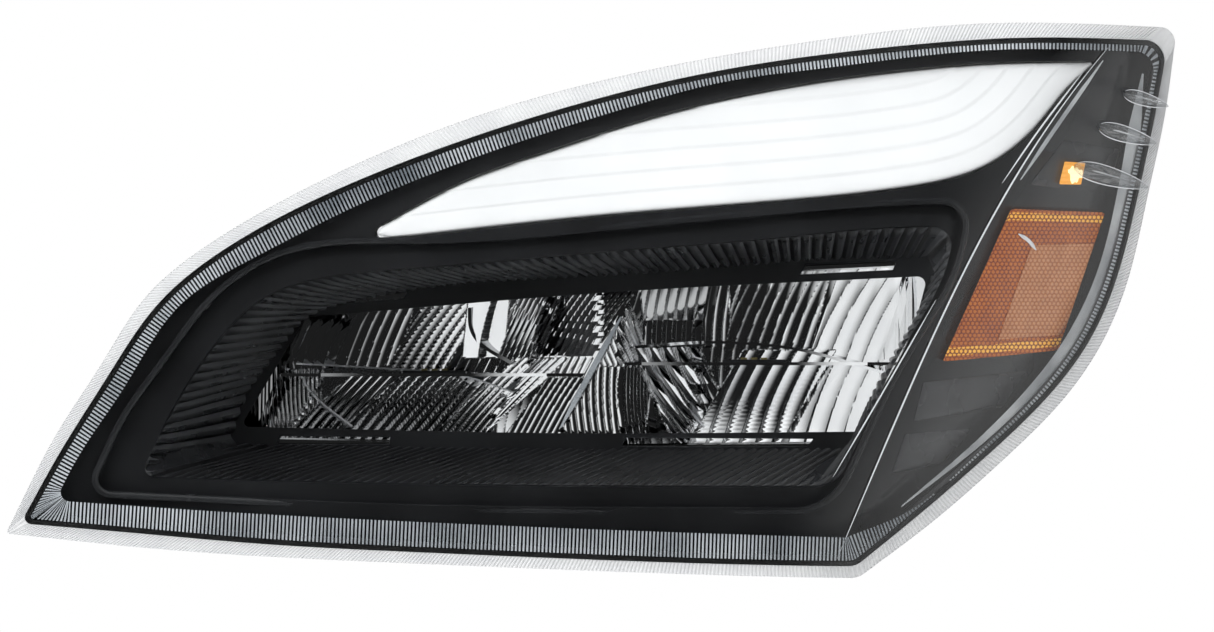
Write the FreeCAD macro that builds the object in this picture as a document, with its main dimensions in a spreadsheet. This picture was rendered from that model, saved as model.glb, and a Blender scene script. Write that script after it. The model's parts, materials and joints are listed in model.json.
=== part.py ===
import FreeCAD, Part
import Sketcher
import math
import os

# Left-hand headlight assembly: a clear polycarbonate lens glued into a moulded housing, a black trim bezel
# with a daytime light guide, a side panel with its amber reflectors, and two mirror bowls on a carrier that
# is aimed by two screws.
#
# Frame, in millimetres: +X outboard, +Y to the rear of the vehicle, +Z up. The origin is the centre of the
# rectangle of four mounting holes, on the plane of the mounting bosses' rear faces.

Vector = FreeCAD.Vector
doc = FreeCAD.newDocument("headlight")
sheet = doc.addObject("Spreadsheet::Sheet", "Sizes")

# ---------------------------------------------------------------- driving dimensions

DIMENSIONS = {
    # whole lamp
    "lamp_width": 740,            # inner tip to outer corner
    "lamp_height": 352,
    "centre_rise": 25,            # middle of the lens above the mounting pattern's centre
    # front surface of the lens
    "sweep_back": 90,             # how far the outer end lies behind the inner tip
    "rake_back": 30,              # how far the top leans back
    "crown_depth": 25,            # bulge of the middle over the top and bottom edges
    "side_slope": 1.2,            # depth per width past the crease
    "crease_radius": 14,
    # lens, seal and rim
    "lens_wall": 3,
    "leg_thickness": 2.4,
    "leg_depth": 20,
    "groove_width": 6,
    "groove_depth": 24,
    "rim_wall": 2.2,
    "rim_depth": 32,
    "rim_gap": 1,                 # lens plate to the rim's front face
    "seal_play": 0.1,             # sealant to the groove's walls and the lens leg
    "seal_height": 8,
    "housing_wall": 3,
    # bezel and what sits in it
    "bezel_setback": 14,          # lens surface to bezel, square to the surface
    "bezel_wall": 2.5,
    "bezel_gap": 1,               # bezel to the rim, and between trim pieces
    "step_drop": 8,               # recess floor behind the bezel's skin
    "snap_width": 12,
    "snap_nose": 2.6,
    "snap_play": 0.5,
    "aperture_depth": 125,        # front tip to the plane of the aperture rim
    "guide_wall": 5,              # daytime light guide
    "guide_recess": 1.5,
    "tray_depth": 14,
    "tray_wall": 2,
    "board_wall": 1.6,
    "chip_side": 4,
    "chip_height": 1.2,
    "reflex_wall": 4,
    "marker_wall": 4,
    # mirror bowls
    "aim_gap": 14,                # free room between aperture rim and bowls
    "bowl_overlap": 10,           # bowls reach this far past the aperture
    "bowl_depth": 60,
    "bowl_wall": 2.5,
    "bowl_focal": 92,
    "bowl_split": 3,              # gap between the two bowls
    "shelf_wall": 2,
    "shelf_arc": 190,             # radius of the shelf's front edge
    "led_board_width": 40,
    "led_board_depth": 24,
    "sink_side": 64,
    "sink_base": 4,
    "sink_depth": 22,
    "sink_fin": 2,
    "sink_pitch": 7.5,
    "sink_pocket": 40,            # flat pad on the back of the bowl
    "post_radius": 4.5,
    "post_span": 104,
    "post_rise": 62,
    # carrier and its three points
    "carrier_wall": 3,
    "carrier_gap": 6,             # window round a heat sink
    "carrier_border": 12,
    "pivot_to_bowls": 24,         # ball centres to the back of the bowls
    "pivot_to_wall": 59,          # ball centres to the inner face of the rear wall
    "pivot_drop": 72,             # fixed ball below the origin
    "vertical_arm": 110,          # fixed ball to the vertical aim nut
    "horizontal_arm": 95,         # fixed ball to the horizontal aim nut
    "ball_radius": 6.5,
    "ball_play": 0.3,
    "socket_radius": 9.4,
    "socket_length": 10,
    "socket_play": 0.06,
    "yoke_wall": 3,
    "stem_radius": 3.5,
    "stem_slot": 5.2,
    "aim_screw_radius": 3,
    "aim_screw_play": 0.06,
    "aim_screw_reach": 14,        # past the nut
    "aim_boss_radius": 7,
    "aim_boss_length": 18,
    "aim_boss_play": 0.06,
    "aim_head_radius": 9,
    "aim_head_wall": 7,
    "aim_head_teeth": 12,
    "clip_wall": 1.2,
    "clip_radius": 6,
    "ring_wall": 1.5,
    # rear wall fittings
    "mount_span": 310,
    "mount_height": 140,
    "boss_length": 30,            # rear wall to the mounting plane
    "boss_radius": 11,
    "insert_radius": 5.5,
    "insert_bore": 3.4,
    "insert_length": 20,
    "pin_radius": 5,
    "pin_length": 12,             # past the mounting plane
    "pin_step": 0.6,              # the pin's root is thinner by this
    "pin_free": 8,                # full thickness ahead of the mounting plane
    "pin_across": 215,
    "pin_drop": 62,
    "pin_root": 18,               # height of the pin's boss behind the rear wall
    "neck_radius": 44,
    "neck_wall": 4,
    "neck_length": 16,
    "cap_spacing": 200,
    "cap_drop": 10,
    "cap_wall": 3,
    "cap_skirt": 14.6,
    "cap_seal_wall": 2,
    "thread_lead": 54,            # travel of a service cap for one whole turn
    "thread_height": 1.4,
    "thread_wall": 2.5,
    "thread_play": 0.3,
    "grip_height": 9,
    "grip_wall": 6,
    "driver_width": 88,
    "driver_height": 80,
    "driver_depth": 20,
    "driver_across": 228,
    "driver_rise": 18,
    "driver_fin": 2.5,
    "driver_fins": 8,
    "gasket_wall": 1.5,
    "screw_radius": 2,
    "screw_head": 4,
    "plug_width": 40,
    "plug_height": 24,
    "plug_depth": 26,
    "plug_wall": 2.2,
    "plug_across": 45,
    "plug_drop": 73,
    "plug_flange": 5,
    "pin_pitch": 8,
    "contact_side": 1.6,
    "contact_length": 11,
    "vent_radius": 8,
    "vent_length": 12,
    "vent_stem": 4,
    "rib_wall": 2.5,
    "rib_height": 9,
}


class Size:
    """A number together with the spreadsheet formula that gives it, so one value drives code and features."""

    def __init__(self, value, formula):
        self.value = float(value)
        self.formula = formula

    def __float__(self):
        return self.value

    def __add__(self, other):
        return Size(self.value + float(other), f"({self.formula} + {text(other)})")

    def __radd__(self, other):
        return Size(float(other) + self.value, f"({text(other)} + {self.formula})")

    def __sub__(self, other):
        return Size(self.value - float(other), f"({self.formula} - {text(other)})")

    def __rsub__(self, other):
        return Size(float(other) - self.value, f"({text(other)} - {self.formula})")

    def __mul__(self, other):
        return Size(self.value * float(other), f"({self.formula} * {text(other)})")

    def __rmul__(self, other):
        return self * other

    def __truediv__(self, other):
        return Size(self.value / float(other), f"({self.formula} / {text(other)})")

    def __neg__(self):
        return Size(-self.value, f"(0 - {self.formula})")


def text(number):
    """The formula of a Size, or a plain number as text."""
    return number.formula if isinstance(number, Size) else f"{float(number):.9g}"


def fill_sheet():
    """Writes every driving dimension to its own named cell."""
    for row, (name, value) in enumerate(DIMENSIONS.items(), start=1):
        sheet.set(f"A{row}", name)
        sheet.set(f"B{row}", str(value))
        sheet.setAlias(f"B{row}", name)
    doc.recompute()
    return {name: Size(value, f"Sizes.{name}") for name, value in DIMENSIONS.items()}


size = fill_sheet()
WIDTH = float(size["lamp_width"])
HEIGHT = float(size["lamp_height"])
WALL = float(size["housing_wall"])
REACH = 6 * WIDTH                                   # longer than anything, for cutting shapes
REAR = -size["boss_length"]                         # outer face of the rear wall
PIVOT = REAR - size["housing_wall"] - size["pivot_to_wall"]
BOWL_BACK = PIVOT - size["pivot_to_bowls"]
BOWL_FRONT = BOWL_BACK - size["bowl_wall"] - size["bowl_depth"]
APERTURE = BOWL_FRONT - size["aim_gap"] - size["bezel_wall"]    # front face of the aperture rim
TIP = APERTURE - size["aperture_depth"]             # front tip of the lens
RIM_HALF = float(size["groove_width"]) / 2 + float(size["rim_wall"])

# ---------------------------------------------------------------- outlines, in per cent of width and height

LENS = [
    ((0.0, 8.4), 2, [(4.4, 26.4), (8.1, 38.5), (11.8, 50.4), (16.8, 59.4), (26.4, 71.0), (38.6, 82.0),
                     (53.1, 90.6), (69.1, 96.7), (84.5, 99.9)]),
    ((100.0, 99.4), 10, [(99.2, 85.1), (97.6, 68.2), (96.1, 54.3), (93.9, 42.8), (90.8, 33.1),
                         (85.0, 21.0), (78.2, 9.0)]),
    ((72.3, 0.0), 14, [(63.7, 0.5), (34.9, 2.9), (11.8, 5.8)]),
]
SEAL = [
    ((1.6, 10.6), 3, [(4.6, 21.9), (8.8, 36.0), (13.2, 49.3), (17.6, 57.2), (24.6, 65.8), (35.2, 75.4),
                      (46.0, 83.1), (60.3, 90.6), (75.0, 95.0), (87.0, 96.8)]),
    ((99.0, 96.6), 12, [(98.1, 85.1), (96.5, 68.5), (94.9, 55.0), (92.7, 43.9), (89.5, 34.5),
                        (83.8, 22.9), (77.0, 10.9)]),
    ((72.0, 2.6), 12, [(63.7, 3.0), (34.9, 5.4), (21.9, 6.9), (10.4, 9.0)]),
]
STEP = [
    ((7.2, 16.0), 8, [(10.0, 28.3), (13.2, 37.9), (17.5, 49.8), (22.8, 57.4), (34.0, 60.0), (52.0, 62.6),
                      (65.6, 65.4), (75.0, 66.9)]),
    ((81.7, 67.4), 14, [(80.8, 58.3), (76.3, 40.6)]),
    ((69.7, 12.6), 36, [(58.8, 12.8), (34.9, 13.4)]),
]
FLUTE_FRONT = [
    ((10.9, 18.3), 6, [(15.0, 34.2), (18.2, 43.7), (21.4, 50.0), (24.6, 52.9), (34.0, 55.6), (52.0, 58.9),
                       (65.6, 61.2), (74.0, 62.9)]),
    ((80.8, 63.5), 12, [(80.0, 56.8), (76.3, 41.9)]),
    ((70.4, 16.4), 24, [(58.8, 16.5), (34.9, 17.0)]),
]
FLUTE_BACK = [
    ((18.3, 23.7), 6, [(20.0, 33.3), (22.8, 41.5), (25.1, 47.1), (28.6, 49.9), (34.0, 52.2), (52.0, 55.0),
                       (63.8, 56.9), (73.0, 58.0)]),
    ((79.5, 58.2), 10, [(78.5, 51.8), (74.6, 36.5)]),
    ((71.6, 22.8), 10, [(52.0, 22.7), (31.9, 23.1)]),
]
OPENING = [
    ((19.5, 27.2), 3, []),
    ((25.1, 46.9), 3, [(52.0, 51.5)]),
    ((78.3, 54.3), 5, [(77.2, 46.0)]),
    ((72.2, 26.3), 4, [(48.5, 26.0)]),
]
WINDOWS = [
    [(28.4, 49.4), (33.4, 50.2), (33.8, 51.4), (29.2, 50.8)],
    [(67.4, 54.6), (75.3, 55.4), (75.6, 57.0), (67.9, 56.4)],
    [(22.6, 24.1), (32.2, 24.1), (32.3, 25.3), (23.0, 25.5)],
    [(52.1, 23.7), (68.0, 23.7), (68.5, 25.0), (52.5, 25.2)],
]
GUIDE = [
    ((29.2, 60.2), 4, [(38.6, 70.9), (45.8, 76.4), (53.1, 81.5), (60.3, 85.5), (75.0, 90.8), (84.5, 92.5)]),
    ((92.9, 92.9), 1.5, [(90.7, 89.0), (88.4, 83.1), (85.7, 77.5), (83.2, 74.1), (77.4, 70.6),
                         (69.1, 68.4), (53.1, 65.6), (45.8, 64.1)]),
]
REFLEX = [
    ((85.3, 66.4), 7, []),
    ((94.0, 65.9), 3, [(93.5, 60.1), (91.7, 48.9)]),
    ((90.0, 40.9), 8, [(83.9, 39.7)]),
    ((79.4, 38.9), 2, [(80.7, 46.9), (83.4, 59.6)]),
]
MARKER = [
    ((89.6, 70.9), 1.5, []),
    ((90.1, 75.0), 1.5, []),
    ((92.1, 74.8), 1.5, []),
    ((91.7, 70.9), 1.5, []),
]
SNAPS = {"inboard": [(5.0, 20.0), (30.0, 71.0), (62.0, 90.0), (30.0, 6.5), (60.0, 5.0)],
         "outboard": [(96.0, 96.0), (84.0, 24.0)]}
FINS = [((97.3, 86.3), 17, 4.5), ((95.7, 79.9), 22, 5.5), ((94.3, 72.3), 28, 6.5)]
FIN_BULGE = 9                                       # height of a lens fin over the side face
FIN_FALL = -14                                      # degrees that a fin leans down to its rear
BOWLS = {"inner": ((36.0, 36.5), (0.0, 51.0)), "outer": ((63.5, 38.5), (51.0, 100.0))}


def across(per_cent):
    """X of a share of the lamp's width."""
    return (per_cent / 100 - 0.5) * WIDTH


def up(per_cent):
    """Z of a share of the lamp's height."""
    return float(size["centre_rise"]) + (per_cent / 100 - 0.5) * HEIGHT


def flat_point(place):
    return Vector(across(place[0]), 0, up(place[1]))


def corner_arc(before, corner, after, radius):
    """A rounded corner's start, middle and end, and the directions in and out of it."""
    inward = (corner - before).normalize()
    outward = (after - corner).normalize()
    half = (math.pi - inward.getAngle(outward)) / 2
    cut = radius / math.tan(half)
    middle = Vector(outward - inward).normalize()
    centre = corner + middle * (radius / math.sin(half))
    return corner - inward * cut, centre - middle * radius, corner + outward * cut, inward, outward


def smooth(points, leaving, arriving):
    """A smooth edge through the points, with the given directions at its ends."""
    along = [0.0]
    for a, b in zip(points, points[1:]):
        along.append(along[-1] + (b - a).Length)
    curve = Part.BSplineCurve()
    curve.interpolate(
        Points=points, Parameters=along, InitialTangent=leaving, FinalTangent=arriving, Scale=False)
    return curve.toShape()


SMALLEST_RADIUS = 1.5
SAMPLES = 18                                        # points that carry a curved side when it is grown


def outline(corners, distance=0.0):
    """A closed wire in the XZ plane, rounded corners joined by lines or curves, grown by a distance."""
    count = len(corners)
    plain, moved = [], []
    for i, (spot, radius, _) in enumerate(corners):
        last = corners[i - 1]
        before = flat_point(last[2][-1] if last[2] else last[0])
        corner = flat_point(spot)
        after = flat_point(corners[i][2][0] if corners[i][2] else corners[(i + 1) % count][0])
        inward = Vector(corner - before).normalize()
        outward = Vector(after - corner).normalize()
        half = (math.pi - inward.getAngle(outward)) / 2
        shift = Vector(inward - outward).normalize() * (distance / math.sin(half))
        plain.append(corner_arc(before, corner, after, radius))
        moved.append(corner_arc(before + shift, corner + shift, after + shift,
                                max(radius + distance, SMALLEST_RADIUS)))
    edges = []
    for i, (_, _, through) in enumerate(corners):
        begin, middle, end, _, leaving = moved[i]
        edges.append(Part.Arc(begin, middle, end).toShape())
        target, arriving = moved[(i + 1) % count][0], moved[(i + 1) % count][3]
        if not through:
            edges.append(Part.LineSegment(end, target).toShape())
            continue
        base = smooth([plain[i][2]] + [flat_point(p) for p in through] + [plain[(i + 1) % count][0]],
                      leaving, arriving)
        spots = []
        for k in range(1, SAMPLES):
            at = base.getParameterByLength(base.Length * k / SAMPLES)
            tangent = base.tangentAt(at)
            spot = base.valueAt(at) + Vector(-tangent.z, 0, tangent.x) * distance
            if (spot - end).dot(leaving) > 4 and (target - spot).dot(arriving) > 4:
                spots.append(spot)
        edges.append(smooth([end] + spots + [target], leaving, arriving))
    return Part.Wire(edges)


def prism(wire):
    """The outline carried along Y through the whole lamp."""
    face = Part.Face(wire)
    face.translate(Vector(0, -REACH / 2, 0))
    return face.extrude(Vector(0, REACH, 0))


# ---------------------------------------------------------------- the swept front surface

def crease_at(z):
    """X of the crease where the front face turns into the side face."""
    share = (z - up(0)) / HEIGHT
    return across(69.6 + 20 * share + 6 * share ** 4)


def depth_at(x, z):
    """Y of the lens surface."""
    along = max(x / WIDTH + 0.5, 0)
    high = (z - up(50)) / (HEIGHT / 2)
    radius = float(size["crease_radius"])
    past = (x - crease_at(z)) / radius
    turned = radius * (past if past > 30 else math.log1p(math.exp(past)))
    return (
        float(TIP)
        + float(size["sweep_back"]) * along ** 1.6
        + float(size["side_slope"]) * turned
        + float(size["rake_back"]) * (high + 1) / 2
        + float(size["crown_depth"]) * high ** 2
    )


def steepness(x, z):
    """How much longer a distance straight back is than one square to the surface."""
    step = 1.0
    slope_x = (depth_at(x + step, z) - depth_at(x - step, z)) / (2 * step)
    slope_z = (depth_at(x, z + step) - depth_at(x, z - step)) / (2 * step)
    return math.sqrt(1 + slope_x ** 2 + slope_z ** 2)


MARGIN = 40                                         # the surface runs this far past the lamp


def stations():
    """Distances from the crease at which the surface is sampled, closer together near the crease."""
    radius = float(size["crease_radius"])
    near = [radius * i * 0.75 for i in range(-5, 6)]
    left = [near[0] - (across(100) - across(0) + MARGIN) * (i / 5) for i in range(5, 0, -1)]
    right = [near[-1] + (across(45) - across(0) + MARGIN) * (i / 4) for i in range(1, 5)]
    return left + near + right


def surface(square=0.0, back=0.0):
    """The lens surface moved back by a distance measured square to it, or straight along Y."""
    levels = [up(0) - MARGIN + (HEIGHT + 2 * MARGIN) * i / 7 for i in range(8)]
    rows = []
    for s in stations():
        row = []
        for z in levels:
            x = crease_at(z) + s
            y = depth_at(x, z) + square * steepness(x, z) + back
            row.append(Vector(x, y, z))
        rows.append(row)
    made = Part.BSplineSurface()
    made.interpolate(rows)
    return made.toShape()


def behind(square=0.0, back=0.0):
    return surface(square, back).extrude(Vector(0, REACH, 0))


def ahead(square=0.0, back=0.0):
    return surface(square, back).extrude(Vector(0, -REACH, 0))


def between(shape, near, far):
    """What of shape lies between two surfaces, each given as (square, back)."""
    return shape.common(behind(*near)).common(ahead(*far))


def band(corners, outside, inside):
    """A prism that follows the outline, from outside to inside of it."""
    return prism(outline(corners, outside)).cut(prism(outline(corners, inside)))


# ---------------------------------------------------------------- document helpers

parts = {}


def keep(obj, label):
    """Names an object as a sub-part, which is written to its own file."""
    obj.Label = label
    parts[label] = obj
    return obj


def freeform(label, shape):
    """A sub-part whose shape follows the curved lens."""
    obj = doc.addObject("Part::Feature", label)
    obj.Shape = shape
    return keep(obj, label)


def place(obj, x=0, y=0, z=0):
    """Puts an object at a point given by formulas."""
    for axis, value in zip("xyz", (x, y, z)):
        obj.setExpression(f"Placement.Base.{axis}", text(value))
    return obj


def set_size(obj, **values):
    for name, value in values.items():
        obj.setExpression(name, text(value))
    return obj


def face_plane(body, role):
    return next(f for f in body.Origin.OriginFeatures if f.Role == role)


def sketch_on(body, role):
    made = body.newObject("Sketcher::SketchObject", "Sketch")
    made.AttachmentSupport = (face_plane(body, role), [""])
    made.MapMode = "FlatFace"
    return made


def draw_polygon(sketch, points):
    """Draws a closed polygon whose corners are held by formulas."""
    first = sketch.GeometryCount
    count = len(points)
    spots = [Vector(float(a), float(b), 0) for a, b in points]
    for i in range(count):
        sketch.addGeometry(Part.LineSegment(spots[i], spots[(i + 1) % count]), False)
    for i in range(count):
        sketch.addConstraint(Sketcher.Constraint("Coincident", first + i, 2, first + (i + 1) % count, 1))
    for i, corner in enumerate(points):
        for kind, axis, value in (("DistanceX", -2, corner[0]), ("DistanceY", -1, corner[1])):
            if abs(float(value)) < 1e-9:
                sketch.addConstraint(Sketcher.Constraint("PointOnObject", first + i, 1, axis))
                continue
            held = sketch.addConstraint(Sketcher.Constraint(kind, -1, 1, first + i, 1, float(value)))
            sketch.setExpression(f"Constraints[{held}]", text(value))
    return sketch


def draw_circle(sketch, x, z, radius):
    """Draws a circle whose centre and radius are held by formulas."""
    at = sketch.addGeometry(Part.Circle(Vector(float(x), float(z), 0), Vector(0, 0, 1), float(radius)), False)
    held = sketch.addConstraint(Sketcher.Constraint("Radius", at, float(radius)))
    sketch.setExpression(f"Constraints[{held}]", text(radius))
    for kind, axis, value in (("DistanceX", -2, x), ("DistanceY", -1, z)):
        if abs(float(value)) < 1e-9:
            sketch.addConstraint(Sketcher.Constraint("PointOnObject", at, 3, axis))
            continue
        held = sketch.addConstraint(Sketcher.Constraint(kind, -1, 1, at, 3, float(value)))
        sketch.setExpression(f"Constraints[{held}]", text(value))


def turned(label, profile, x=0, y=0, z=0):
    """A body turned about an axis along Y: the profile is (radius, distance along Y)."""
    body = doc.addObject("PartDesign::Body", label)
    sketch = draw_polygon(sketch_on(body, "XY_Plane"), profile)
    spin = body.newObject("PartDesign::Revolution", "Turn")
    spin.Profile = sketch
    spin.ReferenceAxis = (sketch, ["V_Axis"])
    spin.Angle = 360
    place(body, x, y, z)
    return body


def block(label, profile, length, x=0, y=0, z=0):
    """A body of constant section, padded towards +Y: the profile is (x, z)."""
    body = doc.addObject("PartDesign::Body", label)
    sketch = draw_polygon(sketch_on(body, "XZ_Plane"), profile)
    pad = body.newObject("PartDesign::Pad", "Pad")
    pad.Profile = sketch
    pad.setExpression("Length", text(length))
    pad.Reversed = True
    place(body, x, y, z)
    return body


def drill(body, circles):
    """Round holes along Y through a body, each (x, z, radius) from the body's own origin."""
    sketch = sketch_on(body, "XZ_Plane")
    for x, z, radius in circles:
        draw_circle(sketch, x, z, radius)
    hole = body.newObject("PartDesign::Pocket", "Holes")
    hole.Profile = sketch
    hole.Type = "ThroughAll"
    hole.Midplane = True
    return body


def rectangle(width, height):
    return [(-width / 2, -height / 2), (width / 2, -height / 2), (width / 2, height / 2), (-width / 2, height / 2)]


def box(name, width, depth, height, x, y, z):
    """A plain box, centred on x and z, that runs back from y."""
    made = set_size(doc.addObject("Part::Box", name), Length=width, Width=depth, Height=height)
    return place(made, x - width / 2, y, z - height / 2)


def rod(name, radius, length, x, y, z):
    """A cylinder along Y that runs back from y."""
    made = set_size(doc.addObject("Part::Cylinder", name), Radius=radius, Height=length)
    made.Placement.Rotation = FreeCAD.Rotation(Vector(1, 0, 0), -90)
    return place(made, x, y, z)


def ball(name, radius, x, y, z):
    made = set_size(doc.addObject("Part::Sphere", name), Radius=radius)
    return place(made, x, y, z)


def fused(name, shapes):
    made = doc.addObject("Part::MultiFuse", name)
    made.Shapes = shapes
    return made


def cut(name, base, tools):
    made = doc.addObject("Part::Cut", name)
    made.Base = base
    made.Tool = tools[0] if len(tools) == 1 else fused(name + "_tools", tools)
    return made


def group(label, members):
    """Several alike pieces kept as one sub-part."""
    made = doc.addObject("Part::Compound", label)
    made.Links = members
    return keep(made, label)


# ---------------------------------------------------------------- lens, seal and trim

TRIM_IN = -(RIM_HALF + float(size["bezel_gap"]))    # the trim's edge, from the seal's middle line


def fin(place_at, half_length, half_height):
    """A leaf-shaped fin that stands out from the lens's side face, lying along the air stream."""
    x, z = across(place_at[0]), up(place_at[1])
    shape = Part.makeSphere(1.0)
    stretch = FreeCAD.Matrix()
    stretch.scale(Vector(half_length, FIN_BULGE, half_height))
    shape = shape.transformGeometry(stretch)
    run = math.degrees(math.atan((depth_at(x + 2, z) - depth_at(x - 2, z)) / 4))
    shape.rotate(Vector(0, 0, 0), Vector(0, 1, 0), -FIN_FALL)
    shape.rotate(Vector(0, 0, 0), Vector(0, 0, 1), run)
    shape.translate(Vector(x, depth_at(x, z), z))
    return shape


def make_lens():
    """Clear lens: a domed plate that overhangs the rim, the leg that sits in the seal, and three fins."""
    wall = float(size["lens_wall"])
    half = float(size["leg_thickness"]) / 2
    plate = between(prism(outline(LENS)), (0, 0), (wall, 0))
    leg = between(band(SEAL, half, -half), (wall * 0.5, 0), (0, float(size["leg_depth"])))
    lens = plate.fuse(leg)
    for at, half_length, half_height in FINS:
        outer = fin(at, half_length, half_height).common(ahead(wall * 0.5, 0))
        lens = lens.fuse(outer)
    return freeform("lens", lens)


def make_seal():
    """Sealant bead that fills the bottom of the rim's groove round the lens leg."""
    play = float(size["seal_play"])
    half = float(size["groove_width"]) / 2 - play
    leg = float(size["leg_thickness"]) / 2 + play
    bottom = float(size["groove_depth"]) - play
    top = bottom - float(size["seal_height"])
    bead = between(band(SEAL, half, -half), (0, top), (0, bottom))
    slot = between(band(SEAL, leg, -leg), (0, top - 1), (0, float(size["leg_depth"]) + play))
    return freeform("lens_seal", bead.cut(slot))


def crease_side(outboard, gap):
    """A prism that holds everything on one side of the crease, less a gap."""
    levels = [-12 + 124 * i / 10 for i in range(11)]
    line = [Vector(crease_at(up(v)) + (gap if outboard else -gap), 0, up(v)) for v in levels]
    curve = Part.BSplineCurve()
    curve.interpolate(Points=line)
    far = WIDTH if outboard else -WIDTH
    ends = [line[-1], Vector(far, 0, line[-1].z), Vector(far, 0, line[0].z), line[0]]
    sides = [Part.LineSegment(a, b).toShape() for a, b in zip(ends, ends[1:])]
    return prism(Part.Wire([curve.toShape()] + sides))


def funnel(distance):
    """The room inside the fluted walls, from well ahead of the recess back to the aperture rim, grown."""
    front = outline(FLUTE_FRONT, distance)
    rear = outline(FLUTE_BACK, distance)
    rear.translate(Vector(0, float(APERTURE) + distance, 0))
    low = flat_point((11, 18))
    high = flat_point((80, 60))
    skin = float(size["bezel_setback"]) + float(size["step_drop"])
    start = depth_at(low.x, low.z) + skin
    lean = (depth_at(high.x, high.z) + skin - start) / (high.x - low.x)
    shear = FreeCAD.Matrix()
    shear.A21 = lean
    shear.A24 = start - lean * low.x
    front = front.transformGeometry(shear)
    mouth = front.copy()
    mouth.translate(Vector(0, -(skin + 60), 0))
    return Part.makeLoft([front, rear], True, True).fuse(Part.makeLoft([mouth, front], True, True))


def window(corners):
    """One narrow slot through the aperture rim."""
    spots = [flat_point(p) for p in corners]
    return prism(Part.makePolygon(spots + spots[:1])).common(behind(float(size["bezel_setback"]), 0))


def snap_fingers(side):
    """Hooks on the trim's skirt that catch behind the housing's rim."""
    wall = float(size["bezel_wall"])
    below = float(size["rim_depth"]) + float(size["snap_play"])
    half = float(size["snap_width"]) / 2
    reach = 26
    fingers = []
    for at in SNAPS[side]:
        spot = flat_point(at)
        near = Part.makeBox(2 * half, REACH, 2 * reach, Vector(spot.x - half, -REACH / 2, spot.z - reach))
        finger = near.common(band(SEAL, TRIM_IN, TRIM_IN - wall))
        hook = near.common(band(SEAL, TRIM_IN + float(size["snap_nose"]), TRIM_IN - wall))
        fingers.append(between(finger, (float(size["bezel_setback"]) + 1, 0), (0, below + wall)))
        fingers.append(between(hook, (0, below), (0, below + wall)))
    return fingers


def trim_piece(outboard):
    """A curved skin with a turned-back edge, on one side of the crease."""
    wall = float(size["bezel_wall"])
    gap = float(size["bezel_gap"])
    skin_at = float(size["bezel_setback"])
    deep_at = skin_at + float(size["step_drop"]) + wall
    piece = between(prism(outline(SEAL, TRIM_IN)).common(crease_side(outboard, gap / 2)),
                    (skin_at, 0), (deep_at, 0))
    hollow = prism(outline(SEAL, TRIM_IN - wall)).common(crease_side(outboard, gap / 2 + wall))
    hollow = hollow.common(behind(skin_at + wall, 0))
    if not outboard:
        hollow = hollow.cut(prism(outline(STEP, wall)))
    return piece.cut(hollow)


def make_bezel():
    """Black trim: swept skin, stepped recess, fluted funnel and the slotted rim round the aperture."""
    wall = float(size["bezel_wall"])
    floor_at = float(size["bezel_setback"]) + float(size["step_drop"])
    bezel = trim_piece(False)
    bezel = bezel.cut(prism(outline(STEP)).common(ahead(floor_at, 0)))
    bezel = bezel.cut(prism(outline(GUIDE, float(size["bezel_gap"]))))
    bezel = bezel.fuse(funnel(wall).common(behind(floor_at + wall * 0.4, 0)))
    bezel = bezel.cut(funnel(0)).cut(prism(outline(OPENING)).common(behind(floor_at, 0)))
    for corners in WINDOWS:
        bezel = bezel.cut(window(corners))
    return freeform("bezel", bezel.fuse(snap_fingers("inboard")))


def make_side_panel():
    """Grey trim behind the lens's side face, open behind the marker."""
    panel = trim_piece(True).cut(prism(outline(MARKER, -float(size["bezel_gap"]) / 2)))
    return freeform("side_panel", panel.fuse(snap_fingers("outboard")))


def make_guide():
    """Daytime light: the clear guide, the white tray behind it, its board and its chips."""
    front = float(size["bezel_setback"]) + float(size["guide_recess"])
    guide_back = front + float(size["guide_wall"])
    gap = float(size["bezel_gap"]) / 2
    inboard = crease_side(False, 2 * gap)
    freeform("light_guide", between(prism(outline(GUIDE)).common(inboard), (front, 0), (guide_back, 0)))
    wall = float(size["tray_wall"])
    tray_front = guide_back + gap
    tray_back = tray_front + float(size["tray_depth"])
    outer = between(prism(outline(GUIDE, wall / 2)).common(inboard), (tray_front, 0), (tray_back, 0))
    hollow = prism(outline(GUIDE, -wall)).common(ahead(tray_back - wall, 0))
    freeform("light_tray", outer.cut(hollow))
    board = float(size["board_wall"])
    board_front = tray_back - wall - gap - board
    strip = prism(outline(GUIDE, -wall * 3))
    freeform("light_board", between(strip, (board_front, 0), (board_front + board, 0)))
    chips = []
    side, tall = float(size["chip_side"]), float(size["chip_height"])
    solder = side / 3                               # room under a flat chip on the curved board
    for i in range(14):
        share = i / 13
        x = across(38 + 48 * share)
        z = up(66.5 + 15 * share)
        y = depth_at(x, z) + (board_front - 0.3) * steepness(x, z) - tall
        chips.append(Part.makeBox(side, tall, side, Vector(x - side / 2, y - solder, z - side / 2)))
    freeform("light_chips", Part.makeCompound(chips))


def make_side_lamps():
    """Amber reflex and marker lens in front of the side panel, and the marker's own board behind it."""
    seat = float(size["bezel_setback"])
    play = float(size["seal_play"]) * 2
    reflex = between(prism(outline(REFLEX)), (seat - play - float(size["reflex_wall"]), 0), (seat - play, 0))
    freeform("side_reflex", reflex)
    marker = between(prism(outline(MARKER)), (seat - play - float(size["marker_wall"]), 0), (seat - play, 0))
    freeform("marker_lens", marker)
    under = seat + float(size["bezel_wall"]) + play
    board = prism(outline(MARKER, 6))
    freeform("marker_board", between(board, (under, 0), (under + float(size["board_wall"]), 0)))


# ---------------------------------------------------------------- housing

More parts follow.
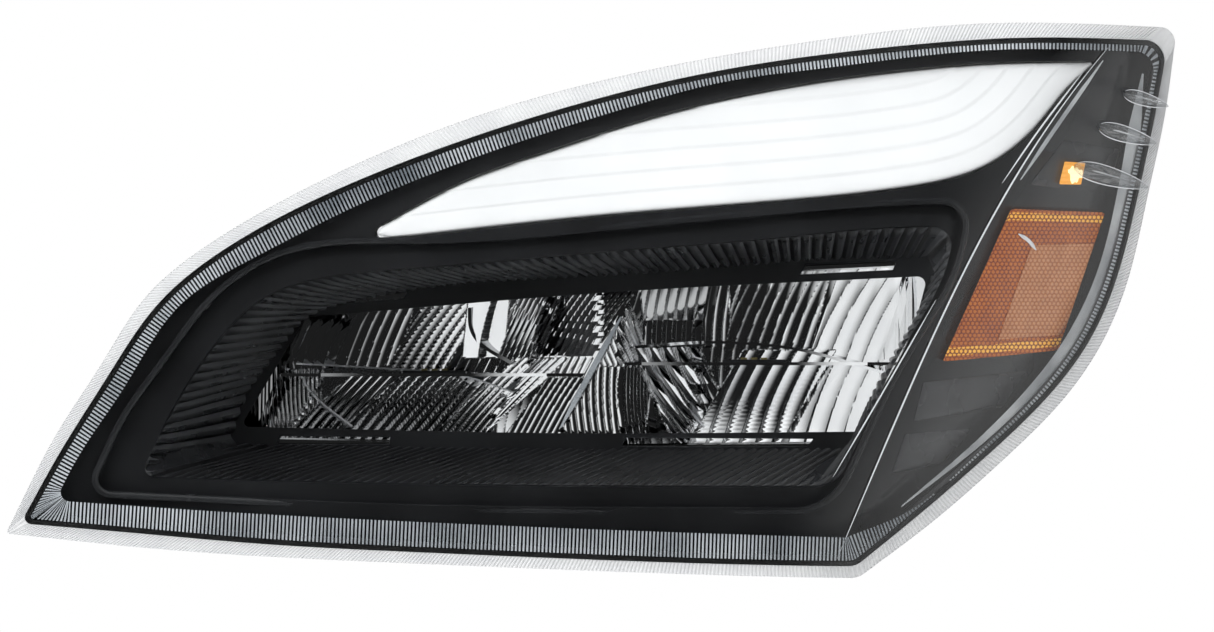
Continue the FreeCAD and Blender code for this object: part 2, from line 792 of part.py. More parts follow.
def top_profile(inset):
    """The housing seen from above, as a prism: shallow at the inner tip and deep behind the bowls."""
    rear = float(REAR) - inset
    tip = float(TIP)
    left = -float(size["mount_span"]) / 2 - float(size["boss_radius"]) - 30 + inset
    low = across(0) - 30
    shoulder = left - 34
    spots = [
        Vector(low, tip - 60, 0),
        Vector(low, tip + 58 - inset, 0),
        Vector(across(9) + inset * 0.5, tip + 92 - inset, 0),
        Vector(shoulder, rear - 60, 0),
        Vector(left, rear, 0),
        Vector(across(100) + 30, rear, 0),
        Vector(across(100) + 30, tip - 60, 0),
    ]
    face = Part.Face(Part.makePolygon(spots + spots[:1]))
    face.translate(Vector(0, 0, -REACH / 2))
    return face.extrude(Vector(0, 0, REACH))


def side_profile(inset):
    """The housing seen from the side, as a prism: its roof and floor slope in to the rear wall."""
    rear = float(REAR) - inset
    tip = float(TIP)
    spots = [
        Vector(0, tip - 60, up(0) - 30),
        Vector(0, rear - 105, up(0) - 30),
        Vector(0, rear - 70 - inset, up(4) + inset * 0.5),
        Vector(0, rear, up(15) + inset),
        Vector(0, rear, up(84) - inset),
        Vector(0, rear - 44 - inset, up(97) - inset * 0.5),
        Vector(0, rear - 52, up(100) + 30),
        Vector(0, tip - 60, up(100) + 30),
    ]
    face = Part.Face(Part.makePolygon(spots + spots[:1]))
    face.translate(Vector(-REACH / 2, 0, 0))
    return face.extrude(Vector(REACH, 0, 0))


def shell_shape():
    """The housing's curved shell with its sealing groove, before anything is added to its rear wall."""
    rim_back = float(size["rim_depth"])
    front = (float(size["lens_wall"]) + float(size["rim_gap"]), 0)
    outer = prism(outline(SEAL, RIM_HALF)).common(top_profile(0)).common(side_profile(0))
    outer = outer.common(behind(*front))
    room = prism(outline(SEAL, RIM_HALF - WALL)).common(top_profile(WALL)).common(side_profile(WALL))
    room = room.common(behind(0, rim_back))
    mouth = prism(outline(SEAL, -RIM_HALF)).common(ahead(0, rim_back + 1))
    half = float(size["groove_width"]) / 2
    groove = band(SEAL, half, -half).common(ahead(0, float(size["groove_depth"])))
    return outer.cut(room).cut(mouth).cut(groove)


def mount_places():
    """The four mounting bosses."""
    half_x, half_z = size["mount_span"] / 2, size["mount_height"] / 2
    return [(-half_x, -half_z), (half_x, -half_z), (half_x, half_z), (-half_x, half_z)]


def aim_places():
    """The vertical and the horizontal aim screw."""
    zero = size["pivot_drop"] * 0
    return {
        "vertical": (zero, size["vertical_arm"] - size["pivot_drop"]),
        "horizontal": (-size["horizontal_arm"], -size["pivot_drop"]),
    }


def cap_places():
    half = size["cap_spacing"] / 2
    return {"inner": (-half, -size["cap_drop"]), "outer": (half, -size["cap_drop"])}


def driver_corners():
    """The four screws of the driver box."""
    inset = 7
    wide, high = size["driver_width"], size["driver_height"]
    return [(size["driver_across"] + sx * (wide / 2 - inset), size["driver_rise"] + sz * (high / 2 - inset))
            for sx in (-1, 1) for sz in (-1, 1)]


VENTS = [(0, -18), (-172, 6)]
INSIDE = REAR - size["housing_wall"]                # inner face of the rear wall


def thread_ribs(name, inner, outer, half_angle, centre, offset, x, y, z):
    """Three sloping ribs round a neck or lugs in a cap: sectors of a ring cut by a tilted slab."""
    slope = math.atan(float(size["thread_lead"]) / (2 * math.pi * float(size["neck_radius"])))
    ribs = []
    for turn in range(3):
        angle = centre + 120 * turn
        ring = set_size(doc.addObject("Part::Cylinder", f"{name}_ring"), Radius=outer, Height=30)
        ring.Angle = 2 * half_angle
        ring.Placement = FreeCAD.Placement(Vector(0, 0, -15), FreeCAD.Rotation(Vector(0, 0, 1), -half_angle))
        core = set_size(doc.addObject("Part::Cylinder", f"{name}_core"), Radius=inner, Height=40)
        core.Placement.Base = Vector(0, 0, -20)
        sector = cut(f"{name}_sector", ring, [core])
        slab = set_size(doc.addObject("Part::Box", f"{name}_slab"), Length=80, Width=120,
                        Height=size["thread_wall"])
        tilt = FreeCAD.Rotation(Vector(1, 0, 0), math.degrees(slope))
        slab.Placement = FreeCAD.Placement(
            tilt.multVec(Vector(0, -60, -float(size["thread_wall"]) / 2)), tilt)
        piece = doc.addObject("Part::Common", f"{name}_piece")
        piece.Base = sector
        piece.Tool = slab
        stand = FreeCAD.Rotation(Vector(1, 0, 0), -90)
        spin = FreeCAD.Rotation(Vector(0, 1, 0), -angle)
        piece.Placement.Rotation = spin.multiply(stand)
        place(piece, x, y + offset, z)
        ribs.append(piece)
    return ribs


RIB_MIDDLE = 8                                      # middle of the neck's ribs behind the rear wall
RIB_SPAN = 22.5                                     # half the angle that a rib covers
LUG_SPAN = 7
LUG_BACK = 10                                       # degrees from a rib's middle to the lug at rest


def make_housing():
    """The moulded rear shell with everything that is moulded to its rear wall."""
    shell = doc.addObject("Part::Feature", "shell")
    shell.Shape = shell_shape()
    adds, cuts = [shell], []
    for x, z in mount_places():
        adds.append(rod("boss", size["boss_radius"], size["boss_length"] + size["housing_wall"], x, INSIDE, z))
        cuts.append(rod("boss_bore", size["insert_radius"], size["insert_length"] + 5,
                        x, -size["insert_length"], z))
    for x, z in cap_places().values():
        adds.append(rod("neck", size["neck_radius"], size["neck_length"] + size["housing_wall"], x, INSIDE, z))
        cuts.append(rod("neck_bore", size["neck_radius"] - size["neck_wall"],
                        size["neck_length"] + size["housing_wall"] + 4, x, INSIDE - 2, z))
        adds += thread_ribs("rib", size["neck_radius"] - 1, size["neck_radius"] + size["thread_height"],
                            RIB_SPAN, 90, RIB_MIDDLE, x, REAR, z)
    for x, z in aim_places().values():
        length = size["aim_boss_length"] + size["housing_wall"]
        adds.append(rod("aim_boss", size["aim_boss_radius"], length, x, REAR - length, z))
        cuts.append(rod("aim_bore", size["aim_screw_radius"] + size["aim_boss_play"], length + 8,
                        x, REAR - length - 4, z))
        cuts.append(rod("head_room", size["aim_head_radius"] + 2, size["rib_height"] + 4, x, REAR, z))
    post = size["pivot_to_wall"] * 0.5
    adds.append(rod("pivot_post", size["stem_radius"] + 5, post + size["housing_wall"],
                    0, INSIDE - post, -size["pivot_drop"]))
    cuts.append(rod("pivot_bore", size["stem_radius"], post + 4, 0, INSIDE - post - 4, -size["pivot_drop"]))
    adds.append(rod("pin_boss", size["pin_radius"] + 4, size["pin_root"] + size["housing_wall"],
                    size["pin_across"], INSIDE, -size["pin_drop"]))
    cuts.append(rod("pin_bore", size["pin_radius"] - size["pin_step"], size["pin_root"] + 4, size["pin_across"],
                    REAR, -size["pin_drop"]))
    for x, z in VENTS:
        adds.append(rod("vent_neck", size["vent_stem"] + 2, size["housing_wall"] + 6, x, INSIDE, z))
        cuts.append(rod("vent_bore", size["vent_stem"] - 1.5, size["housing_wall"] + 16, x, INSIDE - 4, z))
    plug_x, plug_z = size["plug_across"], -size["plug_drop"]
    cuts.append(box("plug_hole", size["plug_width"] - 6, 20, size["plug_height"] - 6, plug_x, REAR - 10, plug_z))
    driver_x, driver_z = size["driver_across"], size["driver_rise"]
    cuts.append(box("driver_hole", size["driver_width"] - 40, 20, size["driver_height"] - 40,
                    driver_x, REAR - 10, driver_z))
    half_x, half_z = size["mount_span"] / 2, size["mount_height"] / 2
    for z in (-half_z, half_z):
        adds.append(box("long_rib", size["mount_span"], size["rib_height"], size["rib_wall"], 0, REAR, z))
    for x in (-half_x, half_x):
        adds.append(box("tall_rib", size["rib_wall"], size["rib_height"], size["mount_height"], x, REAR, 0))
    for x in (-26, 26):
        adds.append(box("mid_rib", size["rib_wall"], size["rib_height"] * 0.7, size["mount_height"],
                        size["mount_span"] * 0 + x, REAR, 0))
    for x, z in driver_corners():
        adds.append(rod("driver_boss", size["screw_radius"] + 3, size["housing_wall"] + 6, x, INSIDE - 6, z))
        cuts.append(rod("driver_bore", size["screw_radius"], size["housing_wall"] + 6, x, INSIDE - 4, z))
    plug_face = box("plug_pad", size["plug_width"] + 14, size["rib_height"] + 4, size["plug_height"] + 14,
                    plug_x, REAR, plug_z)
    driver_face = box("driver_pad", size["driver_width"] + 4, size["rib_height"] + 4, size["driver_height"] + 4,
                      driver_x, REAR, driver_z)
    solid = fused("housing_solid", adds)
    return keep(cut("housing", solid, cuts + [plug_face, driver_face]), "housing")


# ---------------------------------------------------------------- mirror bowls and carrier

def bowl_centre(name):
    return across(BOWLS[name][0][0]), up(BOWLS[name][0][1])


def dish(x, z, wall):
    """The room in front of a paraboloid whose apex is at the back of the bowl."""
    deep = float(size["bowl_depth"]) + wall
    focal = float(size["bowl_focal"])
    apex = float(BOWL_FRONT) + deep
    start = 40.0                                    # how far the solid runs ahead of the bowl's front plane
    widest = math.sqrt(4 * focal * (deep + start))
    steps = 8
    curve = Part.BSplineCurve()
    curve.interpolate(
        Points=[Vector(widest * i / steps, apex - (widest * i / steps) ** 2 / (4 * focal), 0)
                for i in range(steps + 1)],
        InitialTangent=Vector(1, 0, 0),
        FinalTangent=Vector(1, -widest / (2 * focal), 0),
    )
    rim = Vector(widest, apex - widest ** 2 / (4 * focal), 0)
    top = Vector(0, rim.y, 0)
    edges = [curve.toShape(), Part.LineSegment(rim, top).toShape(), Part.LineSegment(top, Vector(0, apex, 0)).toShape()]
    face = Part.Face(Part.Wire(edges))
    made = face.revolve(Vector(0, 0, 0), Vector(0, 1, 0), 360)
    made.translate(Vector(x, 0, z))
    return made


def bowl_posts(name):
    """Screw posts behind a bowl, from its own centre."""
    x, z = bowl_centre(name)
    dx, dz = float(size["post_span"]) / 2, float(size["post_rise"]) / 2
    return [(x - dx, z - dz), (x + dx, z - dz), (x + dx, z + dz), (x - dx, z + dz)]


def make_bowl(name):
    """One mirror bowl: a paraboloid dish in a walled outline, with the shelf that carries its light chips."""
    x, z = bowl_centre(name)
    begin, end = BOWLS[name][1]
    wall = float(size["bowl_wall"])
    half_gap = float(size["bowl_split"]) / 2
    left = across(begin) + (half_gap if begin > 0 else -MARGIN)
    right = across(end) - (half_gap if end < 100 else -MARGIN)
    front = float(BOWL_FRONT)
    wire = outline(OPENING, float(size["bowl_overlap"]))
    inside = outline(OPENING, float(size["bowl_overlap"]) - wall)
    part_box = Part.makeBox(right - left, REACH, 4 * HEIGHT, Vector(left, front, -2 * HEIGHT))
    inner_box = Part.makeBox(right - left - 2 * wall, REACH, 4 * HEIGHT, Vector(left + wall, front - 100, -2 * HEIGHT))
    room = prism(inside).common(inner_box).common(dish(x, z, 0))
    outer = prism(wire).common(part_box).common(dish(x, z, wall))
    shelf_half = float(size["shelf_wall"]) / 2
    arc = float(size["shelf_arc"])
    plate = Part.makeBox(WIDTH, float(size["bowl_depth"]), 2 * shelf_half, Vector(x - WIDTH / 2, front, z - shelf_half))
    scoop = Part.makeCylinder(arc, HEIGHT, Vector(x, front + 14 - arc, z - HEIGHT / 2))
    shelf = plate.common(prism(wire)).common(part_box).common(dish(x, z, wall * 0.5)).cut(scoop)
    back = float(BOWL_BACK)
    pad_half = float(size["sink_pocket"]) / 2
    pad = Part.makeBox(2 * pad_half, 12, 2 * pad_half, Vector(x - pad_half, back - 12, z - pad_half))
    posts = [Part.makeCylinder(float(size["post_radius"]), 50, Vector(px, back - 50, pz), Vector(0, 1, 0))
             for px, pz in bowl_posts(name)]
    bores = [Part.makeCylinder(float(size["screw_radius"]), 7, Vector(px, back - 7, pz), Vector(0, 1, 0))
             for px, pz in bowl_posts(name)]
    backing = [piece.cut(dish(x, z, wall * 0.5)) for piece in [pad] + posts]
    solid = outer.cut(room).fuse([shelf] + backing).cut(bores)
    freeform(f"{name}_reflector", solid)


def make_chips(name):
    """The light board on a bowl's shelf and its three chips."""
    x, z = bowl_centre(name)
    top = z + float(size["shelf_wall"]) / 2
    wide, deep = float(size["led_board_width"]), float(size["led_board_depth"])
    tall = float(size["board_wall"])
    y = float(BOWL_FRONT) + 22
    freeform(f"{name}_light_board", Part.makeBox(wide, deep, tall, Vector(x - wide / 2, y, top)))
    side, high = float(size["chip_side"]), float(size["chip_height"])
    chips = [Part.makeBox(side, side, high, Vector(x + step * side * 1.6 - side / 2, y + deep / 2, top + tall))
             for step in (-1, 0, 1)]
    freeform(f"{name}_light_chips", Part.makeCompound(chips))


def make_heat_sink(name):
    """Finned aluminium heat sink on the back of a bowl."""
    x, z = bowl_centre(name)
    side, pitch, fin_wall = size["sink_side"], size["sink_pitch"], size["sink_fin"]
    count = 9
    profile = [(-side / 2, -side / 2), (side / 2, -side / 2), (side / 2, side / 2), (-side / 2, side / 2)]
    body = block(f"{name}_heat_sink", profile, size["sink_base"], x, BOWL_BACK, z)
    sketch = sketch_on(body, "XZ_Plane")
    middle = (count - 1) / 2
    draw_polygon(sketch, [(-pitch * middle - fin_wall / 2, -side / 2), (-pitch * middle + fin_wall / 2, -side / 2),
                          (-pitch * middle + fin_wall / 2, side / 2), (-pitch * middle - fin_wall / 2, side / 2)])
    fin_pad = body.newObject("PartDesign::Pad", "Fin")
    fin_pad.Profile = sketch
    fin_pad.setExpression("Length", text(size["sink_depth"]))
    fin_pad.Reversed = True
    doc.recompute()
    rows = body.newObject("PartDesign::LinearPattern", "Fins")
    rows.Originals = [fin_pad]
    rows.Direction = (face_plane(body, "X_Axis"), [""])
    rows.setExpression("Length", text(pitch * (count - 1)))
    rows.Occurrences = count
    body.Tip = rows
    keep(body, f"{name}_heat_sink")


def carrier_extent():
    """Left, right, bottom and top of the carrier plate."""
    border = float(size["carrier_border"])
    posts = bowl_posts("inner") + bowl_posts("outer")
    left = min(p[0] for p in posts) - border
    right = max(p[0] for p in posts) + border
    low = -float(size["pivot_drop"]) - border
    high = float(size["vertical_arm"]) - float(size["pivot_drop"]) + border
    return left, right, low, high


def make_carrier():
    """The plate that holds both bowls, with the yoke for the fixed pivot and the two aim sockets."""
    left, right, low, high = carrier_extent()
    profile = [(left, low), (right, low), (right, high), (left, high)]
    plate = block("carrier_plate", profile, size["carrier_wall"], 0, BOWL_BACK, 0)
    screw = size["screw_radius"]
    drill(plate, [(x, z, screw + 0.3) for name in BOWLS for x, z in bowl_posts(name)])
    windows = []
    for name in BOWLS:
        x, z = bowl_centre(name)
        side = size["sink_side"] + size["carrier_gap"] * 2
        windows.append(box("sink_window", side, 20, side, side * 0 + x, BOWL_BACK - 8, side * 0 + z))
    adds, cuts = [plate], windows
    arm = PIVOT - BOWL_BACK
    half = size["socket_length"] / 2
    for x, z in aim_places().values():
        adds.append(rod("aim_socket", size["socket_radius"], arm + half, x, BOWL_BACK, z))
        cuts.append(ball("aim_hollow", size["ball_radius"] + size["ball_play"], x, PIVOT, z))
        cuts.append(rod("aim_way", size["stem_slot"], arm + 60, x, BOWL_BACK - 10, z))
    yoke_radius = size["socket_radius"] + size["socket_play"] + size["yoke_wall"]
    yoke = set_size(doc.addObject("Part::Cylinder", "yoke"), Radius=yoke_radius, Height=size["socket_length"])
    yoke.Placement.Rotation = FreeCAD.Rotation(Vector(0, 1, 0), 90)
    place(yoke, -half, PIVOT, -size["pivot_drop"])
    adds.append(yoke)
    adds.append(box("yoke_arm", size["socket_length"], arm, yoke_radius * 1.6, 0 * half, BOWL_BACK,
                    -size["pivot_drop"]))
    bore = set_size(doc.addObject("Part::Cylinder", "yoke_bore"),
                    Radius=size["socket_radius"] + size["socket_play"], Height=size["socket_length"] * 3)
    bore.Placement.Rotation = FreeCAD.Rotation(Vector(0, 1, 0), 90)
    place(bore, -size["socket_length"] * 1.5, PIVOT, -size["pivot_drop"])
    cuts.append(bore)
    cuts.append(rod("stem_way", size["stem_slot"] + 1, 30, 0 * half, PIVOT, -size["pivot_drop"]))
    solid = fused("carrier_solid", adds)
    keep(cut("reflector_carrier", solid, cuts), "reflector_carrier")


def make_pivot():
    """The fixed ball stud and the nylon socket that turns on it, inside the carrier's yoke."""
    z = -size["pivot_drop"]
    zero = size["pivot_drop"] * 0
    head = ball("pivot_ball", size["ball_radius"], zero, PIVOT, z)
    stem_length = size["pivot_to_wall"] - 1
    stem = rod("pivot_stem", size["stem_radius"], stem_length, zero, PIVOT, z)
    keep(fused("pivot_stud", [head, stem]), "pivot_stud")
    half = size["socket_length"] / 2
    barrel = set_size(doc.addObject("Part::Cylinder", "barrel"), Radius=size["socket_radius"],
                      Height=size["socket_length"])
    barrel.Placement.Rotation = FreeCAD.Rotation(Vector(0, 1, 0), 90)
    place(barrel, -half, PIVOT, z)
    hollow = ball("socket_hollow", size["ball_radius"] + size["ball_play"], zero, PIVOT, z)
    way = rod("socket_way", size["stem_slot"] - 0.6, 30, zero, PIVOT, z)
    keep(cut("pivot_socket", barrel, [hollow, way]), "pivot_socket")


def make_aim_screw(name):
    """One aim screw with its toothed head, its retaining clip, its nut with a ball seat, and its ring seal."""
    x, z = aim_places()[name]
    reach = size["aim_screw_reach"]
    start = PIVOT - reach
    head_at = REAR + size["ring_wall"]
    shank = head_at - start
    radius = size["aim_screw_radius"]
    head_radius = size["aim_head_radius"]
    body = turned(f"{name}_aim_screw", [
        (0, 0), (radius - 0.6, 0), (radius, 0.6), (radius, shank), (head_radius, shank),
        (head_radius, shank + size["aim_head_wall"]), (0, shank + size["aim_head_wall"])], x, start, z)
    sketch = sketch_on(body, "XZ_Plane")
    draw_circle(sketch, head_radius, 0, size["aim_head_radius"] * 0.16)
    notch = body.newObject("PartDesign::Pocket", "Notch")
    notch.Profile = sketch
    notch.Type = "ThroughAll"
    notch.Midplane = True
    doc.recompute()
    teeth = body.newObject("PartDesign::PolarPattern", "Teeth")
    teeth.Originals = [notch]
    teeth.Axis = (face_plane(body, "Y_Axis"), [""])
    teeth.Angle = 360
    teeth.setExpression("Occurrences", text(size["aim_head_teeth"]))
    body.Tip = teeth
    keep(body, f"{name}_aim_screw")
    nut = ball(f"{name}_nut_ball", size["ball_radius"], x, PIVOT, z)
    nut_bore = rod(f"{name}_nut_bore", radius + size["aim_screw_play"], 40, x, PIVOT - 20, z)
    keep(cut(f"{name}_aim_nut", nut, [nut_bore]), f"{name}_aim_nut")
    clip_at = REAR - size["housing_wall"] - size["aim_boss_length"] - size["clip_wall"] - 0.2
    keep(turned(f"{name}_screw_clip", [
        (radius, 0), (size["clip_radius"], 0), (size["clip_radius"], size["clip_wall"]), (radius, size["clip_wall"])],
        x, clip_at, z), f"{name}_screw_clip")
    ring = turned(f"{name}_ring", [
        (radius + 0.3, 0), (head_radius - 1.5, 0), (head_radius - 1.5, size["ring_wall"]),
        (radius + 0.3, size["ring_wall"])], x, REAR, z)
    return ring


def make_reflector_screws():
    """Screws that hold the bowls' posts to the carrier."""
    screws = []
    radius, head = size["screw_radius"], size["screw_head"]
    for name in BOWLS:
        for x, z in bowl_posts(name):
            screws.append(turned("bowl_screw", [
                (0, -size["carrier_wall"] - 6), (radius, -size["carrier_wall"] - 6), (radius, 0), (head, 0),
                (head, 1.6), (head - 1, 2.6), (0, 2.6)], x, BOWL_BACK + size["carrier_wall"], z))
    group("reflector_screws", screws)


# ---------------------------------------------------------------- rear wall fittings

def make_cap(name):
    """One screw-on service cap and the flat ring seal under it."""
    x, z = cap_places()[name]
    neck = size["neck_radius"]
    play = size["thread_play"]
    inner = neck + size["thread_height"] + play
    outer = inner + size["cap_wall"]
    seal = size["cap_seal_wall"]
    seat = REAR + size["neck_length"]
    keep(turned(f"{name}_cap_seal", [
        (neck - size["neck_wall"], 0), (neck, 0), (neck, seal), (neck - size["neck_wall"], seal)],
        x, seat, z), f"{name}_cap_seal")
    deep = size["cap_skirt"]
    wall = size["cap_wall"]
    dome = turned(f"{name}_cap_dome", [
        (inner, 0), (outer, 0), (outer, deep + seal + wall * 0.4), (outer - wall * 0.6, deep + seal + wall),
        (0, deep + seal + wall), (0, deep + seal), (inner, deep + seal)], x, seat - deep, z)
    grip = box(f"{name}_cap_grip", neck * 1.5, size["grip_height"], size["grip_wall"], x, seat + seal + wall - 1, z)
    lug_drop = size["thread_wall"] + play
    lug_angle = 90 + LUG_BACK
    on_helix = size["thread_lead"] * (LUG_BACK / 360)
    lugs = thread_ribs(f"{name}_lug", neck + play, inner + 1, LUG_SPAN, lug_angle,
                       RIB_MIDDLE - lug_drop - on_helix, x, REAR, z)
    keep(fused(f"{name}_cap", [dome, grip] + lugs), f"{name}_cap")


def make_driver():
    """Lighting driver: finned die-cast box on a gasket, held by four screws."""
    x, y, z = size["driver_across"], REAR, size["driver_rise"]
    wide, high = size["driver_width"], size["driver_height"]
    gasket = block("driver_gasket", rectangle(wide, high), size["gasket_wall"], x, y, z)
    sketch = sketch_on(gasket, "XZ_Plane")
    draw_polygon(sketch, rectangle(wide - 36, high - 36))
    opening = gasket.newObject("PartDesign::Pocket", "Opening")
    opening.Profile = sketch
    opening.Type = "ThroughAll"
    opening.Midplane = True
    corners = [(cx - x, cz - z) for cx, cz in driver_corners()]
    clearance = size["screw_radius"] + 0.3
    drill(gasket, [(cx, cz, clearance) for cx, cz in corners])
    keep(gasket, "driver_gasket")
    base = y + size["gasket_wall"]
    case = block("driver_case", rectangle(wide, high), 5, x, base, z)
    drill(case, [(cx, cz, clearance) for cx, cz in corners])
    core = box("driver_core", wide - 28, size["driver_depth"] * 0.5, high, x, base, z)
    fins = []
    pitch = (wide - 28 - size["driver_fin"]) / (float(size["driver_fins"]) - 1)
    for i in range(int(float(size["driver_fins"]))):
        at = x - (wide - 28) / 2 + size["driver_fin"] / 2 + pitch * i
        fins.append(box("driver_fin_piece", size["driver_fin"], size["driver_depth"], high, at, base, z))
    keep(fused("led_driver", [case, core] + fins), "led_driver")
    screws = [turned("driver_screw", [
        (0, -12), (size["screw_radius"], -12), (size["screw_radius"], 0), (size["screw_head"], 0),
        (size["screw_head"], 2), (size["screw_head"] - 1, 3), (0, 3)], cx, base + 5, cz)
        for cx, cz in driver_corners()]
    group("driver_screws", screws)


def make_plug():
    """Main connector socket: a keyed shroud on a flange, with six flat contacts."""
    x, z = size["plug_across"], -size["plug_drop"]
    wide, high, wall = size["plug_width"], size["plug_height"], size["plug_wall"]
    flange = block("plug_flange_plate", rectangle(wide + size["plug_flange"] * 2, high + size["plug_flange"] * 2),
                   3, x, REAR, z)
    shroud = box("plug_shroud", wide, size["plug_depth"], high, x, REAR, z)
    hollow = box("plug_hollow", wide - wall * 2, size["plug_depth"], high - wall * 2, x, REAR + 5, z)
    key = box("plug_key", 4, size["plug_depth"] - 8, 3, x, REAR, z + high / 2 + 1)
    root = box("plug_root", wide - 8, 8, high - 8, x, REAR - 8, z)
    solid = fused("plug_solid", [flange, shroud, key, root])
    contacts, slots = [], []
    side, length = size["contact_side"], size["contact_length"]
    for i in (-1, 0, 1):
        for row in (-1, 1):
            at_x = x + size["pin_pitch"] * i
            at_z = z + size["pin_pitch"] / 2 * row
            contacts.append(box("contact", side, length + 14, side, at_x, REAR - 9, at_z))
            slots.append(box("contact_slot", side, length + 14, side, at_x, REAR - 9, at_z))
    keep(cut("connector_socket", solid, [hollow] + slots), "connector_socket")
    group("connector_contacts", contacts)


def make_small_fittings():
    """Threaded inserts, the locating pin, the breather caps and the aim screws' ring seals."""
    inserts = []
    for x, z in mount_places():
        inserts.append(turned("insert", [
            (size["insert_bore"], 0), (size["insert_radius"], 0), (size["insert_radius"], size["insert_length"]),
            (size["insert_bore"], size["insert_length"])], x, -size["insert_length"], z))
    group("mount_inserts", inserts)
    pin, reach, shank = size["pin_radius"], size["pin_length"], size["pin_radius"] - size["pin_step"]
    root, free = size["boss_length"] - 1, size["pin_free"]
    keep(turned("locating_pin", [
        (0, -root), (shank, -root), (shank, -free), (pin, -free), (pin, reach - 2), (pin - 2, reach), (0, reach)],
        size["pin_across"], 0, -size["pin_drop"]), "locating_pin")
    vents = []
    for x, z in VENTS:
        stem, cap = size["vent_stem"], size["vent_radius"]
        vents.append(turned("vent", [
            (stem + 2, 0), (cap, 0), (cap, size["vent_length"] - 1), (cap - 1, size["vent_length"]),
            (0, size["vent_length"]), (0, 6.4), (stem + 2, 6.4)], x, REAR, z))
    group("vent_caps", vents)


make_lens()
make_seal()
make_bezel()
make_side_panel()
make_guide()
make_side_lamps()
make_housing()
for bowl in BOWLS:
    make_bowl(bowl)
    make_chips(bowl)
    make_heat_sink(bowl)
make_carrier()
make_pivot()
rings = [make_aim_screw(which) for which in aim_places()]
group("aim_ring_seals", rings)
make_reflector_screws()
for cap_name in cap_places():
    make_cap(cap_name)
make_driver()
make_plug()
make_small_fittings()
doc.recompute()


# ---------------------------------------------------------------- checks and files

def write_parts():
    """Refuses a failed feature or a bad shape, then writes each sub-part to its own STEP file."""
    failed = [o.Name for o in doc.Objects if "Invalid" in o.State or "Error" in o.State]
    if failed:
        raise RuntimeError(f"these features failed: {failed}")
    os.makedirs("parts", exist_ok=True)
    for label, obj in parts.items():
        shape = obj.Shape
        if shape.isNull() or not shape.isValid() or not shape.Solids:
            raise RuntimeError(f"{label} has no valid solid")
        shape.exportStep(f"parts/{label}.step")
        print(f"{label}: {len(shape.Solids)} solid(s), {shape.Volume / 1000:.1f} cm3")


write_parts()
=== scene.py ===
import json
import math
import bmesh
import bpy
import numpy as np
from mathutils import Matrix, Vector


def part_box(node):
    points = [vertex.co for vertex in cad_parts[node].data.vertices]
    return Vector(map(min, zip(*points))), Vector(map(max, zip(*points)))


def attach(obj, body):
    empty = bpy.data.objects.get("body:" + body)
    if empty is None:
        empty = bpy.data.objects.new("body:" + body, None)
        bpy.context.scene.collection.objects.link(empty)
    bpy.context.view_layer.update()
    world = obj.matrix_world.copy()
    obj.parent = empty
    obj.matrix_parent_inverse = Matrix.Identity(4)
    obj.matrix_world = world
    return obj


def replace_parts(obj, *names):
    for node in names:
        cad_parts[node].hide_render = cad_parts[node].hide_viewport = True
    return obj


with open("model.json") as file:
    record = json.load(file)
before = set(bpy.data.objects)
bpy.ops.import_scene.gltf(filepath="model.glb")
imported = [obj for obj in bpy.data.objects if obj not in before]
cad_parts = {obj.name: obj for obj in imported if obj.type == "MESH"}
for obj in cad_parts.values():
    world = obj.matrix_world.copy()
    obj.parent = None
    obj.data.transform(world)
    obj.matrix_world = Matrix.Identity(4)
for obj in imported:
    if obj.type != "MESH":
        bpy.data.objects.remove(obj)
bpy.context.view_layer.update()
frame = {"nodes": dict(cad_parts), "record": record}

# The looks of the headlight assembly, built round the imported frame. Shapes are worked out in millimetres
# in the frame's own axes: +X outboard, +Y to the rear, +Z up. Outlines are in per cent of the lens's
# width and height, as in the part.

MM = 0.001


def in_mm(node):
    """Lowest and highest corner of a CAD node, in millimetres."""
    low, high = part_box(node)
    return np.array(low) / MM, np.array(high) / MM


# ---- sizes taken from the frame

LENS_SPAN = 0.99684  # the rounded lens, as a share of its nominal width
SWEEP_BACK, RAKE_BACK, CROWN_DEPTH = 90, 30, 25
SIDE_SLOPE, CREASE_RADIUS = 1.2, 14
LENS_WALL = 3
RECESS_DEPTH = 22  # lens surface to the floor of the recess
GUIDE_DEPTH = 15.5  # lens surface to the daytime panel
GUIDE_WALL = 5
APERTURE_DEPTH = 125  # front tip to the rim round the aperture
APERTURE_TO_BOWLS = 16.5
BOWL_DEPTH = 60
BOWL_FOCAL = 92

lens_low, lens_high = in_mm("lens")
WIDTH = (lens_high[0] - lens_low[0]) / LENS_SPAN
HEIGHT = lens_high[2] - lens_low[2]
MIDDLE = (lens_low[2] + lens_high[2]) / 2
BOWL_FRONT = in_mm("inner_reflector")[0][1]
DISH_BACK = BOWL_FRONT + BOWL_DEPTH
APERTURE = BOWL_FRONT - APERTURE_TO_BOWLS
TIP = APERTURE - APERTURE_DEPTH

# ---- outlines, in per cent of width and height

